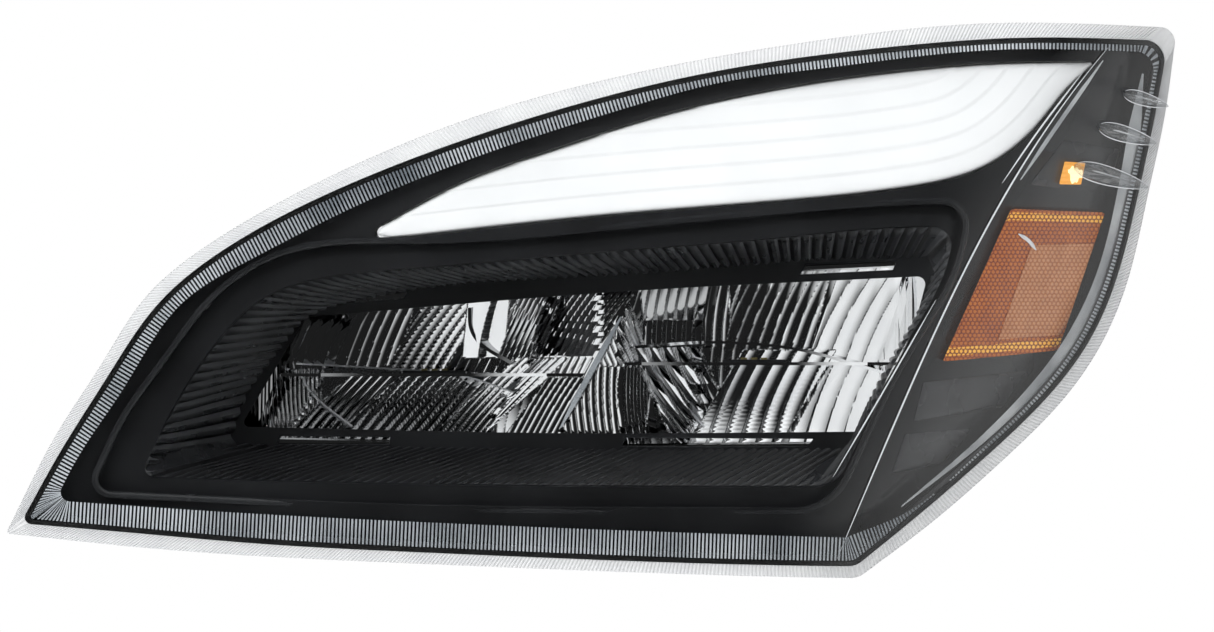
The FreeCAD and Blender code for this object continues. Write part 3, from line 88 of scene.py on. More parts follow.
LENS = [
    ((0.0, 8.4), 2, [(4.4, 26.4), (8.1, 38.5), (11.8, 50.4), (16.8, 59.4), (26.4, 71.0), (38.6, 82.0),
                     (53.1, 90.6), (69.1, 96.7), (84.5, 99.9)]),
    ((100.0, 99.4), 10, [(99.2, 85.1), (97.6, 68.2), (96.1, 54.3), (93.9, 42.8), (90.8, 33.1),
                         (85.0, 21.0), (78.2, 9.0)]),
    ((72.3, 0.0), 14, [(63.7, 0.5), (34.9, 2.9), (11.8, 5.8)]),
]
SEAL = [
    ((1.6, 10.6), 3, [(4.6, 21.9), (8.8, 36.0), (13.2, 49.3), (17.6, 57.2), (24.6, 65.8), (35.2, 75.4),
                      (46.0, 83.1), (60.3, 90.6), (75.0, 95.0), (87.0, 96.8)]),
    ((99.0, 96.6), 12, [(98.1, 85.1), (96.5, 68.5), (94.9, 55.0), (92.7, 43.9), (89.5, 34.5),
                        (83.8, 22.9), (77.0, 10.9)]),
    ((72.0, 2.6), 12, [(63.7, 3.0), (34.9, 5.4), (21.9, 6.9), (10.4, 9.0)]),
]
RIBS_IN = [
    ((4.2, 14.3), 6, [(5.8, 20.7), (10.0, 34.2), (15.0, 49.5), (20.3, 56.7), (28.7, 65.8), (38.6, 74.6),
                      (53.1, 84.7), (60.3, 88.8), (69.1, 91.5), (84.5, 95.0)]),
    ((98.3, 94.9), 12, [(97.4, 85.1), (95.8, 68.5), (94.2, 55.0), (91.9, 43.9), (88.7, 34.5),
                        (83.0, 22.9), (76.2, 11.5)]),
    ((71.2, 7.4), 8, [(58.8, 8.3), (34.9, 10.4), (17.3, 12.4)]),
]
STEP = [
    ((7.2, 16.0), 8, [(10.0, 28.3), (13.2, 37.9), (17.5, 49.8), (22.8, 57.4), (34.0, 60.0), (52.0, 62.6),
                      (65.6, 65.4), (75.0, 66.9)]),
    ((81.7, 67.4), 14, [(80.8, 58.3), (76.3, 40.6)]),
    ((69.7, 12.6), 36, [(58.8, 12.8), (34.9, 13.4)]),
]
FLUTE_FRONT = [
    ((10.9, 18.3), 6, [(15.0, 34.2), (18.2, 43.7), (21.4, 50.0), (24.6, 52.9), (34.0, 55.6), (52.0, 58.9),
                       (65.6, 61.2), (74.0, 62.9)]),
    ((80.8, 63.5), 12, [(80.0, 56.8), (76.3, 41.9)]),
    ((70.4, 16.4), 24, [(58.8, 16.5), (34.9, 17.0)]),
]
FLUTE_BACK = [
    ((18.3, 23.7), 6, [(20.0, 33.3), (22.8, 41.5), (25.1, 47.1), (28.6, 49.9), (34.0, 52.2), (52.0, 55.0),
                       (63.8, 56.9), (73.0, 58.0)]),
    ((79.5, 58.2), 10, [(78.5, 51.8), (74.6, 36.5)]),
    ((71.6, 22.8), 10, [(52.0, 22.7), (31.9, 23.1)]),
]
OPENING = [
    ((19.5, 27.2), 3, []),
    ((25.1, 46.9), 3, [(52.0, 51.5)]),
    ((78.3, 54.3), 5, [(77.2, 46.0)]),
    ((72.2, 26.3), 4, [(48.5, 26.0)]),
]
WINDOWS = [
    [(28.4, 49.4), (33.4, 50.2), (33.8, 51.4), (29.2, 50.8)],
    [(67.4, 54.6), (75.3, 55.4), (75.6, 57.0), (67.9, 56.4)],
    [(22.6, 24.1), (32.2, 24.1), (32.3, 25.3), (23.0, 25.5)],
    [(52.1, 23.7), (68.0, 23.7), (68.5, 25.0), (52.5, 25.2)],
]
GUIDE = [
    ((29.2, 60.2), 4, [(38.6, 70.9), (45.8, 76.4), (53.1, 81.5), (60.3, 85.5), (75.0, 90.8), (84.5, 92.5)]),
    ((92.9, 92.9), 1.5, [(90.7, 89.0), (88.4, 83.1), (85.7, 77.5), (83.2, 74.1), (77.4, 70.6),
                         (69.1, 68.4), (53.1, 65.6), (45.8, 64.1)]),
]
REFLEX = [
    ((85.3, 66.4), 7, []),
    ((94.0, 65.9), 3, [(93.5, 60.1), (91.7, 48.9)]),
    ((90.0, 40.9), 8, [(83.9, 39.7)]),
    ((79.4, 38.9), 2, [(80.7, 46.9), (83.4, 59.6)]),
]
MARKER = [
    ((89.6, 70.9), 1.5, []),
    ((90.1, 75.0), 1.5, []),
    ((92.1, 74.8), 1.5, []),
    ((91.7, 70.9), 1.5, []),
]
FINS = [((97.3, 86.3), 17, 4.5), ((95.7, 79.9), 22, 5.5), ((94.3, 72.3), 28, 6.5)]
FIN_BULGE = 9 * 0.72  # height over the lens, in mm
FIN_FALL = -14  # degrees
FIN_FLUTE = 0.35
LEAF_LENGTH, LEAF_HEIGHT, LEAF_POINT = 0.93, 0.98 / 1.1, 0.35


def across(per_cent):
    """X of a share of the lamp's width."""
    return (per_cent / 100 - 0.5) * WIDTH


def up(per_cent):
    """Z of a share of the lamp's height."""
    return MIDDLE + (per_cent / 100 - 0.5) * HEIGHT


def flat_point(place):
    """A place in per cent as a point of the XZ plane."""
    return np.array([across(place[0]), up(place[1])])


def in_depth(flat, y):
    """Points of the XZ plane with their Y put in."""
    return np.stack([flat[..., 0], np.broadcast_to(y, flat.shape[:-1]), flat[..., 1]], -1)


# ---- the lens surface

def crease_at(z):
    """X of the crease where the front face turns into the side face."""
    share = (z - up(0)) / HEIGHT
    return across(69.6 + 20 * share + 6 * share ** 4)


def depth_at(x, z):
    """Y of the lens surface."""
    along = np.maximum(x / WIDTH + 0.5, 0)
    high = (z - MIDDLE) / (HEIGHT / 2)
    past = CREASE_RADIUS * np.logaddexp(0, (x - crease_at(z)) / CREASE_RADIUS)
    return (TIP + SWEEP_BACK * along ** 1.6 + SIDE_SLOPE * past
            + RAKE_BACK * (high + 1) / 2 + CROWN_DEPTH * high ** 2)


def steepness(x, z):
    """How much longer a distance straight back is than one square to the surface."""
    slope_x = (depth_at(x + 1, z) - depth_at(x - 1, z)) / 2
    slope_z = (depth_at(x, z + 1) - depth_at(x, z - 1)) / 2
    return np.sqrt(1 + slope_x ** 2 + slope_z ** 2)


def under_lens(flat, depth):
    """Points of the XZ plane, put a depth behind the lens surface that is measured square to it."""
    x, z = flat[..., 0], flat[..., 1]
    return in_depth(flat, depth_at(x, z) + depth * steepness(x, z))


# ---- outlines as rings of points

def unit(v):
    return v / np.linalg.norm(v)


def headings(run):
    """Unit direction of travel at each point of a run."""
    travel = np.gradient(run, axis=0)
    return travel / np.linalg.norm(travel, axis=1)[:, None]


def left_of(travel):
    """Directions of the XZ plane turned a quarter turn to the left."""
    return np.stack([-travel[:, 1], travel[:, 0]], -1)


def corner_arc(before, corner, after, radius):
    """Start and end of a rounded corner, its centre, and the directions in and out of it."""
    inward, outward = unit(corner - before), unit(after - corner)
    half = (math.pi - math.acos(float(np.clip(inward @ outward, -1, 1)))) / 2
    cut = radius / math.tan(half)
    centre = corner + unit(outward - inward) * (radius / math.sin(half))
    return corner - inward * cut, corner + outward * cut, centre, inward, outward


def arc_points(begin, end, centre, count):
    """Points round an arc, the last one left out."""
    a, b = begin - centre, end - centre
    turn = math.atan2(a[0] * b[1] - a[1] * b[0], a @ b)
    angles = (turn * np.arange(count) / count)[:, None]
    return centre + np.cos(angles) * a + np.sin(angles) * np.array([-a[1], a[0]])


def smooth(points, leaving, arriving):
    """A dense, smooth run through the points, with the given directions at its ends."""
    points = np.array(points)
    steps = np.linalg.norm(np.diff(points, axis=0), axis=1)
    count = len(points)
    matrix, right = np.eye(count), np.zeros((count, 2))
    right[0], right[-1] = leaving, arriving
    for i in range(1, count - 1):
        a, b = steps[i - 1], steps[i]
        matrix[i, i - 1:i + 2] = b, 2 * (a + b), a
        right[i] = 3 * (b * (points[i] - points[i - 1]) / a + a * (points[i + 1] - points[i]) / b)
    tangents = np.linalg.solve(matrix, right)
    t = np.linspace(0, 1, 25)[:-1, None]
    run = [
        (2 * t ** 3 - 3 * t ** 2 + 1) * points[i] + (t ** 3 - 2 * t ** 2 + t) * steps[i] * tangents[i]
        + (3 * t ** 2 - 2 * t ** 3) * points[i + 1] + (t ** 3 - t ** 2) * steps[i] * tangents[i + 1]
        for i in range(count - 1)
    ]
    return np.concatenate(run + [points[-1:]])


def spaced(run, count):
    """Points evenly spaced along a run, the last one left out."""
    lengths = np.concatenate([[0], np.cumsum(np.linalg.norm(np.diff(run, axis=0), axis=1))])
    at = lengths[-1] * np.arange(count) / count
    return np.stack([np.interp(at, lengths, run[:, k]) for k in range(2)], -1)


def whole(run, count):
    """Points evenly spaced along a run, both ends among them."""
    return np.concatenate([spaced(run, count - 1), run[-1:]])


SMALLEST_RADIUS = 1.5
END_MARGIN = 4  # mm that a grown side keeps between its own points and its ends
EVERY = 12  # a grown side is drawn anew through every twelfth point


def sections(corners, distance=0.0):
    """The outline's arcs and sides in turn, grown by a distance: ("arc", ...) and ("side", run)."""
    plain, moved = [], []
    for i, (spot, radius, _) in enumerate(corners):
        last, through = corners[i - 1], corners[i][2]
        before = flat_point(last[2][-1] if last[2] else last[0])
        corner = flat_point(spot)
        after = flat_point(through[0] if through else corners[(i + 1) % len(corners)][0])
        inward, outward = unit(corner - before), unit(after - corner)
        half = (math.pi - math.acos(float(np.clip(inward @ outward, -1, 1)))) / 2
        shift = unit(inward - outward) * (distance / math.sin(half))
        plain.append(corner_arc(before, corner, after, radius))
        moved.append(corner_arc(before + shift, corner + shift, after + shift,
                                max(radius + distance, SMALLEST_RADIUS)))
    made = []
    for i, (_, _, through) in enumerate(corners):
        begin, end, centre, _, leaving = moved[i]
        following = (i + 1) % len(corners)
        target, arriving = moved[following][0], moved[following][3]
        made.append(("arc", (begin, end, centre)))
        if not through:
            made.append(("side", np.array([end, target])))
            continue
        base = smooth([plain[i][1]] + [flat_point(p) for p in through] + [plain[following][0]],
                      leaving, arriving)
        if distance:
            grown = base + left_of(headings(base)) * distance
            inside = ((grown - end) @ leaving > END_MARGIN) & ((target - grown) @ arriving > END_MARGIN)
            base = smooth(np.concatenate([[end], grown[inside][::EVERY], [target]]), leaving, arriving)
        made.append(("side", base))
    return made


def counts(corners, pitch):
    """How many points each arc and side gets, so that rings of a family join point to point."""
    numbers = []
    for kind, what in sections(corners):
        if kind == "arc":
            numbers.append(8 + int(4 / pitch))
        else:
            numbers.append(max(2, round(np.linalg.norm(np.diff(what, axis=0), axis=1).sum() / pitch)))
    return numbers


def ring(corners, distance, numbers):
    """A closed outline as points, clockwise from the first corner."""
    made = []
    for (kind, what), count in zip(sections(corners, distance), numbers):
        made.append(arc_points(*what, count) if kind == "arc" else spaced(what, count))
    return np.concatenate(made)


def side_run(corners, index, count):
    """One side of an outline, from the middle of one corner to the middle of the next."""
    made = sections(corners)
    here = arc_points(*made[2 * index][1], 8)[4:]
    there = arc_points(*made[(2 * index + 2) % len(made)][1], 8)[:5]
    return whole(np.concatenate([here, made[2 * index + 1][1], there]), count)


# ---- meshes

def lattice_faces(rows, columns, wrap=False):
    """Quads of a grid of points, whose rows may be closed rings."""
    r = np.arange(rows - 1)[:, None] * columns
    c = np.arange(columns if wrap else columns - 1)[None, :]
    after = (c + 1) % columns
    return np.stack([r + c, r + after, r + columns + after, r + columns + c], -1).reshape(-1, 4)


def add_piece(name, points, faces, material, sharp=35, body="housing"):
    """A mesh piece from points in millimetres, smooth shaded but for edges over a sharp angle."""
    mesh = bpy.data.meshes.new(name)
    mesh.from_pydata((np.asarray(points) * MM).tolist(), [], [list(map(int, f)) for f in faces])
    outward = bmesh.new()
    outward.from_mesh(mesh)
    bmesh.ops.recalc_face_normals(outward, faces=outward.faces)
    outward.to_mesh(mesh)
    outward.free()
    mesh.polygons.foreach_set("use_smooth", [True] * len(mesh.polygons))
    mesh.set_sharp_from_angle(angle=math.radians(sharp))
    mesh.materials.append(material)
    mesh.update()
    piece = bpy.data.objects.new(name, mesh)
    bpy.context.scene.collection.objects.link(piece)
    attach(piece, body)
    return piece


def shell(name, front, back, material, sharp=35, body="housing"):
    """A closed plate from two grids of points, the front one facing -Y."""
    rows, columns = front.shape[:2]
    size = rows * columns
    points = np.concatenate([front.reshape(-1, 3), back.reshape(-1, 3)])
    rim = np.concatenate([np.arange(columns), np.arange(1, rows) * columns + columns - 1,
                          (rows - 1) * columns + np.arange(columns - 2, -1, -1),
                          np.arange(rows - 2, 0, -1) * columns])
    following = np.roll(rim, -1)
    faces = [lattice_faces(rows, columns), lattice_faces(rows, columns)[:, ::-1] + size,
             np.stack([following, rim, rim + size, following + size], -1)]
    return add_piece(name, points, np.concatenate(faces), material, sharp, body)


def ring_piece(name, rows, material, sharp=35):
    """A piece that runs round an outline: each row is a whole ring, and the rows go round its section."""
    rows = np.array(rows)
    count, columns = rows.shape[:2]
    faces = lattice_faces(count + 1, columns, wrap=True) % (count * columns)
    return add_piece(name, rows.reshape(-1, 3), faces, material, sharp)


def tube(name, rings, tips, material, sharp=35, body="housing"):
    """A closed piece from rings of points that follow each other. Two tips close its ends, or if there
    are none, one flat face each."""
    count, columns = rings.shape[:2]
    size = count * columns
    faces = list(lattice_faces(count, columns, wrap=True))
    for start, tip in ((0, size), (size - columns, size + 1)):
        end = np.arange(start, start + columns)
        faces += list(np.stack([np.roll(end, -1), end, np.full(columns, tip)], -1)) if len(tips) else [end]
    points = [*rings.reshape(-1, 3), *tips]
    return add_piece(name, points, faces, material, sharp, body)


def strip_along(name, path, section, material, sharp=35, body="housing"):
    """A slim strip along points in space, tapered at both ends; the section is (aside, ahead) pairs in mm."""
    travel = headings(path)
    aside = np.cross(travel, [0, -1, 0])
    aside /= np.linalg.norm(aside, axis=1)[:, None]
    ahead = np.cross(aside, travel)
    along = np.linspace(0, 1, len(path))
    taper = np.minimum(1, 0.25 + 3 * np.minimum(along, 1 - along))[:, None]
    rings = np.stack([path + (aside * s + ahead * f) * taper for s, f in section], axis=1)
    return tube(name, rings, path[[0, -1]], material, sharp, body)


def tone_faces(piece, materials, tones):
    """Gives the piece's first faces the numbered materials; the rest keep the first one."""
    for material in materials[1:]:
        piece.data.materials.append(material)
    indices = np.zeros(len(piece.data.polygons), dtype=int)
    indices[:tones.size] = tones.reshape(-1)
    piece.data.polygons.foreach_set("material_index", indices.tolist())
    piece.data.update()


def grid_between(low, high, rows):
    """Grid of points from a high run down to a low one."""
    return low + (high - low) * np.linspace(1, 0, rows)[:, None, None]


def four_sided(corners, columns, rows, top=1):
    """Grid over a four-cornered outline, top row first; top is the number of its top side."""
    bottom = side_run(corners, (top + 2) % 4, columns)[::-1]
    return grid_between(bottom, side_run(corners, top, columns), rows)


def cell_middles(grid):
    """Middles of a grid's cells."""
    return (grid[:-1, :-1] + grid[1:, 1:]) / 2


def standing_strip(name, path, front, back, half, material):
    """A thin upright sheet along points of the XZ plane, from a front depth to a back depth."""
    aside = left_of(headings(path)) * half
    rings = np.stack([in_depth(path + aside * side, y)
                      for side, y in ((1, front), (-1, front), (-1, back), (1, back))], axis=1)
    tube(name, rings, (), material, body="carrier")


def curve_through(places, count=60):
    """A smooth run of flat points through places given in per cent."""
    points = np.array([flat_point(p) for p in places])
    return whole(smooth(points, unit(points[1] - points[0]), unit(points[-1] - points[-2])), count)


# ---- materials

class Shader:
    """A node material on object coordinates, with a few shorthands for the layers that surfaces share."""

    def __init__(self, name, colour, roughness, metallic=0.0):
        self.material = bpy.data.materials.new(name)
        self.material.use_nodes = True
        self.tree = self.material.node_tree
        self.main = self.tree.nodes["Principled BSDF"]
        self.set(self.main, "Base Color", (*colour, 1))
        self.set(self.main, "Roughness", roughness)
        self.set(self.main, "Metallic", metallic)
        self.place = self.tree.nodes.new("ShaderNodeTexCoord").outputs["Object"]

    def set(self, node, socket, value):
        node.inputs[socket].default_value = value

    def link(self, source, target):
        self.tree.links.new(source, target)

    def stretched(self, stretch):
        node = self.tree.nodes.new("ShaderNodeMapping")
        self.set(node, "Scale", stretch)
        self.link(self.place, node.inputs["Vector"])
        return node.outputs["Vector"]

    def noise(self, size_mm, stretch=(1, 1, 1), detail=3.0):
        """Noise whose blotches are about a size in millimetres."""
        node = self.tree.nodes.new("ShaderNodeTexNoise")
        self.set(node, "Scale", 1000 / size_mm)
        self.set(node, "Detail", detail)
        self.link(self.stretched(stretch), node.inputs["Vector"])
        return node.outputs["Fac"]

    def ramp(self, factor, low, high, start=0.3, end=0.7):
        node = self.tree.nodes.new("ShaderNodeValToRGB")
        for element, colour, at in zip(node.color_ramp.elements, (low, high), (start, end)):
            element.color = (*colour, 1)
            element.position = at
        self.link(factor, node.inputs["Fac"])
        return node.outputs["Color"]

    def between(self, factor, low, high):
        node = self.tree.nodes.new("ShaderNodeMapRange")
        self.set(node, "To Min", low)
        self.set(node, "To Max", high)
        self.link(factor, node.inputs["Value"])
        return node.outputs["Result"]

    def tones(self, low, high, size_mm=30, stretch=(1, 1, 1)):
        self.link(self.ramp(self.noise(size_mm, stretch), low, high), self.main.inputs["Base Color"])
        return self

    def rough(self, low, high, size_mm=20, stretch=(1, 1, 1)):
        self.link(self.between(self.noise(size_mm, stretch), low, high), self.main.inputs["Roughness"])
        return self

    def bump(self, height, depth_mm, strength=1.0):
        node = self.tree.nodes.new("ShaderNodeBump")
        self.set(node, "Strength", strength)
        self.set(node, "Distance", depth_mm * MM)
        self.link(height, node.inputs["Height"])
        self.link(node.outputs["Normal"], self.main.inputs["Normal"])
        return self

    def seen_through(self, share):
        """Lets a share of the light straight through."""
        clear = self.tree.nodes.new("ShaderNodeBsdfTransparent")
        mix = self.tree.nodes.new("ShaderNodeMixShader")
        self.set(mix, "Fac", 1 - share)
        self.link(clear.outputs["BSDF"], mix.inputs[1])
        self.link(self.main.outputs["BSDF"], mix.inputs[2])
        output = self.tree.nodes["Material Output"]
        self.link(mix.outputs["Shader"], output.inputs["Surface"])
        return self


def surface(name, low, high, blotch_mm, rough, gloss_mm=None, grain=None, stretch=(1, 1, 1), detail=3.0,
            metallic=0.0, through=0.0, **sockets):
    """A material of two close tones. Its roughness is one number, or a pair that it changes between over
    gloss_mm, and its grain is (size in mm, depth in mm, strength). Other sockets are set by name."""
    made = Shader(name, low, rough if gloss_mm is None else sum(rough) / 2, metallic)
    made.tones(low, high, blotch_mm, stretch)
    if gloss_mm:
        made.rough(*rough, gloss_mm, stretch)
    if grain:
        size_mm, depth_mm, strength = grain
        made.bump(made.noise(size_mm, stretch, detail), depth_mm, strength)
    for socket, value in sockets.items():
        made.set(made.main, socket.replace("_", " "), value)
    if through:
        made.seen_through(through)
    return made.material


def moulded(name, low, high, rough, grain_mm=0.5, grain_depth=0.02, blotch_mm=40):
    """Moulded plastic with an even grain."""
    return surface(name, low, high, blotch_mm, (rough - 0.06, rough + 0.08), blotch_mm * 0.6,
                   (grain_mm, grain_depth, 0.6), detail=2)


def metal(name, low, high, rough, stretch=(1, 1, 1), grain_mm=0.4, grain_depth=0.01):
    """Bare or plated metal, with a grain that may run one way."""
    return surface(name, low, high, 12, (rough - 0.08, rough + 0.12), 6, (grain_mm, grain_depth, 0.5),
                   stretch, metallic=1.0)


def amber(name, low, high, glow=0.0):
    """Amber plastic with an optional glow: the lamp's own light in the marker, a painted glow in the reflex,
    which is no lamp.
    """
    lit = {"Emission_Color": (*high, 1), "Emission_Strength": glow} if glow else {}
    return surface(name, low, high, 18, (0.08, 0.2), 6, (1.2, 0.02, 0.5), Coat_Weight=0.2, **lit)


def rubber(name, low, high):
    return surface(name, low, high, 10, 0.6, grain=(0.4, 0.03, 0.7))


def glass(name, tint=(0.985, 0.99, 0.992), blend=0.07):
    """Thin clear plastic: straight through, with a gloss that grows at a glancing angle."""
    made = Shader(name, (0.9, 0.93, 0.95), 0.03)
    tree = made.tree
    clear = tree.nodes.new("ShaderNodeBsdfTransparent")
    gloss = tree.nodes.new("ShaderNodeBsdfGlossy")
    facing = tree.nodes.new("ShaderNodeLayerWeight")
    mix = tree.nodes.new("ShaderNodeMixShader")
    made.set(clear, "Color", (*tint, 1))
    made.set(gloss, "Roughness", 0.03)
    made.set(facing, "Blend", blend)
    made.link(facing.outputs["Facing"], mix.inputs["Fac"])
    made.link(clear.outputs["BSDF"], mix.inputs[1])
    made.link(gloss.outputs["BSDF"], mix.inputs[2])
    made.link(mix.outputs["Shader"], tree.nodes["Material Output"].inputs["Surface"])
    tree.nodes.remove(made.main)
    return made.material


SATIN_BLACK = moulded("bezel_black", (0.008, 0.0082, 0.009), (0.014, 0.0145, 0.016), 0.36, 0.4, 0.006, 60)
SMOKED = moulded("panel_smoked", (0.006, 0.0063, 0.007), (0.034, 0.035, 0.037), 0.2, 1.5, 0.004, 110)
SMOKED_PALE = moulded("panel_smoked_pale", (0.024, 0.025, 0.027), (0.060, 0.061, 0.064), 0.26, 1.5, 0.004, 60)
# painted shade and painted highlight for the two flanks of the bezel's flutes
FLUTE_PAINTED_SHADE = moulded("flute_painted_shade", (0.003, 0.003, 0.0033), (0.006, 0.006, 0.0065), 0.4, 0.6, 0.004, 40)
FLUTE_PAINTED_HIGHLIGHT = moulded("flute_painted_highlight", (0.042, 0.043, 0.046), (0.066, 0.068, 0.072), 0.34, 0.6, 0.004, 30)
# a black lighter than the bezel's: a painted sheen on the flutes
FLUTE_PAINTED_SHEEN = moulded("flute_painted_sheen", (0.014, 0.0145, 0.016), (0.026, 0.027, 0.029), 0.27, 0.6, 0.004, 40)
# lighter black than the bezel's: a painted highlight on the lip and the window frames
LIP_PAINTED_HIGHLIGHT = moulded("lip_painted_highlight", (0.016, 0.0165, 0.018), (0.030, 0.031, 0.033), 0.24, 0.6, 0.004, 60)
LENS_CLEAR = glass("lens_clear")
FIN_CLEAR = glass("fin_clear", (0.95, 0.96, 0.97), 0.16)
LENS_MILKY = surface("lens_border_milky", (0.72, 0.73, 0.745), (0.80, 0.81, 0.815), 25, (0.24, 0.38), 8,
                     (1.2, 0.02, 0.4), through=0.22)
# pale grey for the light that clear ribs catch: a painted sheen
RIB_PAINTED_SHEEN = surface("rib_painted_sheen", (0.16, 0.18, 0.20), (0.62, 0.65, 0.68), 70, 0.16, grain=(3, 0.005, 0.3))
# painted sheen: pale semi-clear bands for light on the clear lens and fins
LENS_PAINTED_SHEEN = surface("lens_painted_sheen", (0.40, 0.42, 0.44), (0.85, 0.87, 0.88), 45, 0.2, through=0.45)
MIRROR = surface("mirror_aluminised", (0.90, 0.905, 0.915), (0.955, 0.958, 0.962), 25, (0.03, 0.09), 10,
                 (6, 0.02, 0.5), metallic=1.0)
PANEL_WHITE = surface("daylight_panel", (0.90, 0.905, 0.91), (0.95, 0.952, 0.955), 45, (0.16, 0.28), 30,
                      (2.5, 0.01, 0.3), Coat_Weight=0.6, Coat_Roughness=0.08)
# the reflex is no lamp: its amber, its paler facet and its yellow rows carry a painted glow
REFLEX_AMBER_PAINTED_GLOW = amber("reflex_amber_painted_glow", (0.50, 0.115, 0.006), (0.62, 0.17, 0.012), 0.05)
# darker amber for painted shade in the grooves between the reflex's prisms
REFLEX_PAINTED_GROOVE_SHADE = amber("reflex_painted_groove_shade", (0.22, 0.035, 0.002), (0.30, 0.055, 0.004))
REFLEX_FACET_PAINTED_GLOW = amber("reflex_tan_painted_glow", (0.58, 0.235, 0.09), (0.68, 0.31, 0.14), 0.04)
REFLEX_FACET_PAINTED_GROOVE_SHADE = amber("reflex_tan_painted_groove_shade", (0.40, 0.12, 0.03), (0.48, 0.16, 0.045))
REFLEX_YELLOW_PAINTED_GLOW = amber("reflex_yellow_painted_glow", (0.85, 0.34, 0.02), (0.95, 0.50, 0.06), 0.25)
MARKER_LIT = amber("marker_lit", (0.85, 0.30, 0.02), (0.95, 0.45, 0.06), 0.5)
MARKER_HOT = amber("marker_hot", (1.0, 0.70, 0.22), (1.0, 0.86, 0.5), 1.1)
SEALANT = rubber("sealant_black", (0.006, 0.006, 0.006), (0.012, 0.012, 0.012))
# painted highlight: white lines for light caught by creases, edges, rims and glints
WHITE_PAINTED_HIGHLIGHT = surface("painted_highlight_white", (0.8, 0.82, 0.85), (0.92, 0.93, 0.95), 9, 0.12)

SLOT_MATERIALS = {
    "clear_lens": LENS_CLEAR,
    "sealant": SEALANT,
    "housing_plastic": moulded("housing_black", (0.016, 0.016, 0.018), (0.034, 0.034, 0.037),
                               0.5, 0.8, 0.05, 70),
    "bezel_plastic": SATIN_BLACK,
    "panel_plastic": SMOKED,
    "guide_plastic": PANEL_WHITE,
    "tray_plastic": moulded("tray_white", (0.78, 0.78, 0.77), (0.86, 0.86, 0.85), 0.4, 0.6, 0.01, 30),
    "board": moulded("board_mask", (0.014, 0.015, 0.016), (0.03, 0.031, 0.033), 0.3, 0.7, 0.008, 14),
    "chip": moulded("chip_phosphor", (0.20, 0.17, 0.07), (0.30, 0.26, 0.11), 0.3, 0.3, 0.01, 2),
    "mirror_coat": MIRROR,
    "amber_plastic": REFLEX_AMBER_PAINTED_GLOW,
    "sink_metal": metal("sink_aluminium", (0.55, 0.56, 0.58), (0.72, 0.73, 0.75), 0.36, (1, 0.12, 1)),
    "driver_metal": metal("driver_casting", (0.45, 0.46, 0.48), (0.60, 0.61, 0.63),
                          0.46, (1, 1, 1), 0.9, 0.05),
    "carrier_plastic": moulded("carrier_nylon", (0.022, 0.022, 0.025), (0.045, 0.045, 0.05),
                               0.5, 0.6, 0.04, 30),
    "screw_steel": metal("zinc_plate", (0.50, 0.50, 0.47), (0.68, 0.67, 0.62), 0.3, (1, 0.3, 1)),
    "nylon": moulded("nylon_natural", (0.72, 0.71, 0.65), (0.82, 0.81, 0.76), 0.42, 0.7, 0.02, 12),
    "screw_nylon": moulded("nylon_white", (0.76, 0.76, 0.72), (0.86, 0.86, 0.82), 0.4, 0.7, 0.02, 12),
    "cap_plastic": moulded("cap_black", (0.02, 0.02, 0.022), (0.042, 0.042, 0.046), 0.46, 0.7, 0.05, 26),
    "soft_rubber": rubber("rubber_black", (0.014, 0.014, 0.014), (0.028, 0.028, 0.028)),
    "connector_plastic": moulded("connector_grey", (0.05, 0.05, 0.055), (0.085, 0.085, 0.09),
                                 0.34, 0.5, 0.02, 9),
    "contact_metal": metal("contact_tin", (0.62, 0.55, 0.38), (0.76, 0.69, 0.50), 0.28, (1, 0.2, 1)),
    "insert_metal": metal("insert_brass", (0.62, 0.44, 0.18), (0.78, 0.58, 0.28), 0.3, (1, 0.3, 1)),
    "vent_plastic": rubber("vent_black", (0.02, 0.02, 0.021), (0.036, 0.036, 0.038)),
}


def dress_frame():
    """Gives every carried-over CAD node the procedural material of its slot."""
    for part in frame["record"]["subparts"]:
        node = frame["nodes"].get(part["node"])
        if node is None:
            continue
        node.data.materials.clear()
        node.data.materials.append(SLOT_MATERIALS[part["material_slot"]])


# ---- lens

FACE_ROWS = 46
FACE_CENTRE = (60, 52)
RIB_PITCH = 2.4
BORDER_RIB = 0.75  # depth of the border's ribs
RIB_STEPS = 8  # points to each rib
RIB_FRONT, RIB_BACK = 3.05, 4.3  # behind the lens surface
SHORTEST_RIB, NARROWEST_RIB = 0.8, 0.1


def make_lens():
    """The clear face, whose rings shrink from the seal line to one middle point."""
    edge = ring(SEAL, 1.2, counts(SEAL, 5))
    centre = flat_point(FACE_CENTRE)
    shares = 1 - np.linspace(0, 0.985, FACE_ROWS) ** 1.3
    rings = centre + (edge - centre) * shares[:, None, None]
    tip = rings[-1].mean(axis=0)
    front, back = under_lens(rings, 0), under_lens(rings, LENS_WALL)
    tips = [under_lens(tip, 0), under_lens(tip, LENS_WALL)]
    face = tube("lens_face", np.concatenate([front[::-1], back]), tips, LENS_CLEAR, 40)
    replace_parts(face, "lens")


def make_border():
    """The ribbed border outside the seal."""
    numbers = counts(LENS, RIB_PITCH / RIB_STEPS)
    outer, inner = ring(LENS, -0.2, numbers), ring(SEAL, 1.4, numbers)
    wave = np.sin(np.arange(len(outer)) / RIB_STEPS * 2 * math.pi)
    profile = [(0.0, 0.5, 0), (0.0, 0.1, 0), (0.05, 0.0, BORDER_RIB), (0.93, 0.0, BORDER_RIB), (0.98, 0.1, 0),
               (1.0, 0.6, 0), (1.0, 2.9, 0), (0.0, 2.9, 0)]
    rows = [under_lens(outer + (inner - outer) * share, depth + rib * (1 + wave) / 2)
            for share, depth, rib in profile]
    ring_piece("lens_border", rows, LENS_MILKY)


def make_seal_line():
    """The black line between the lens and the housing."""
    numbers = counts(SEAL, 4)
    profile = [(1.5, 3.3), (0.6, 3.05), (-0.6, 3.05), (-1.5, 3.3), (-1.5, 23.5), (1.5, 23.5)]
    rows = [under_lens(ring(SEAL, side, numbers), depth) for side, depth in profile]
    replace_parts(ring_piece("seal_line", rows, SEALANT), "lens_seal")


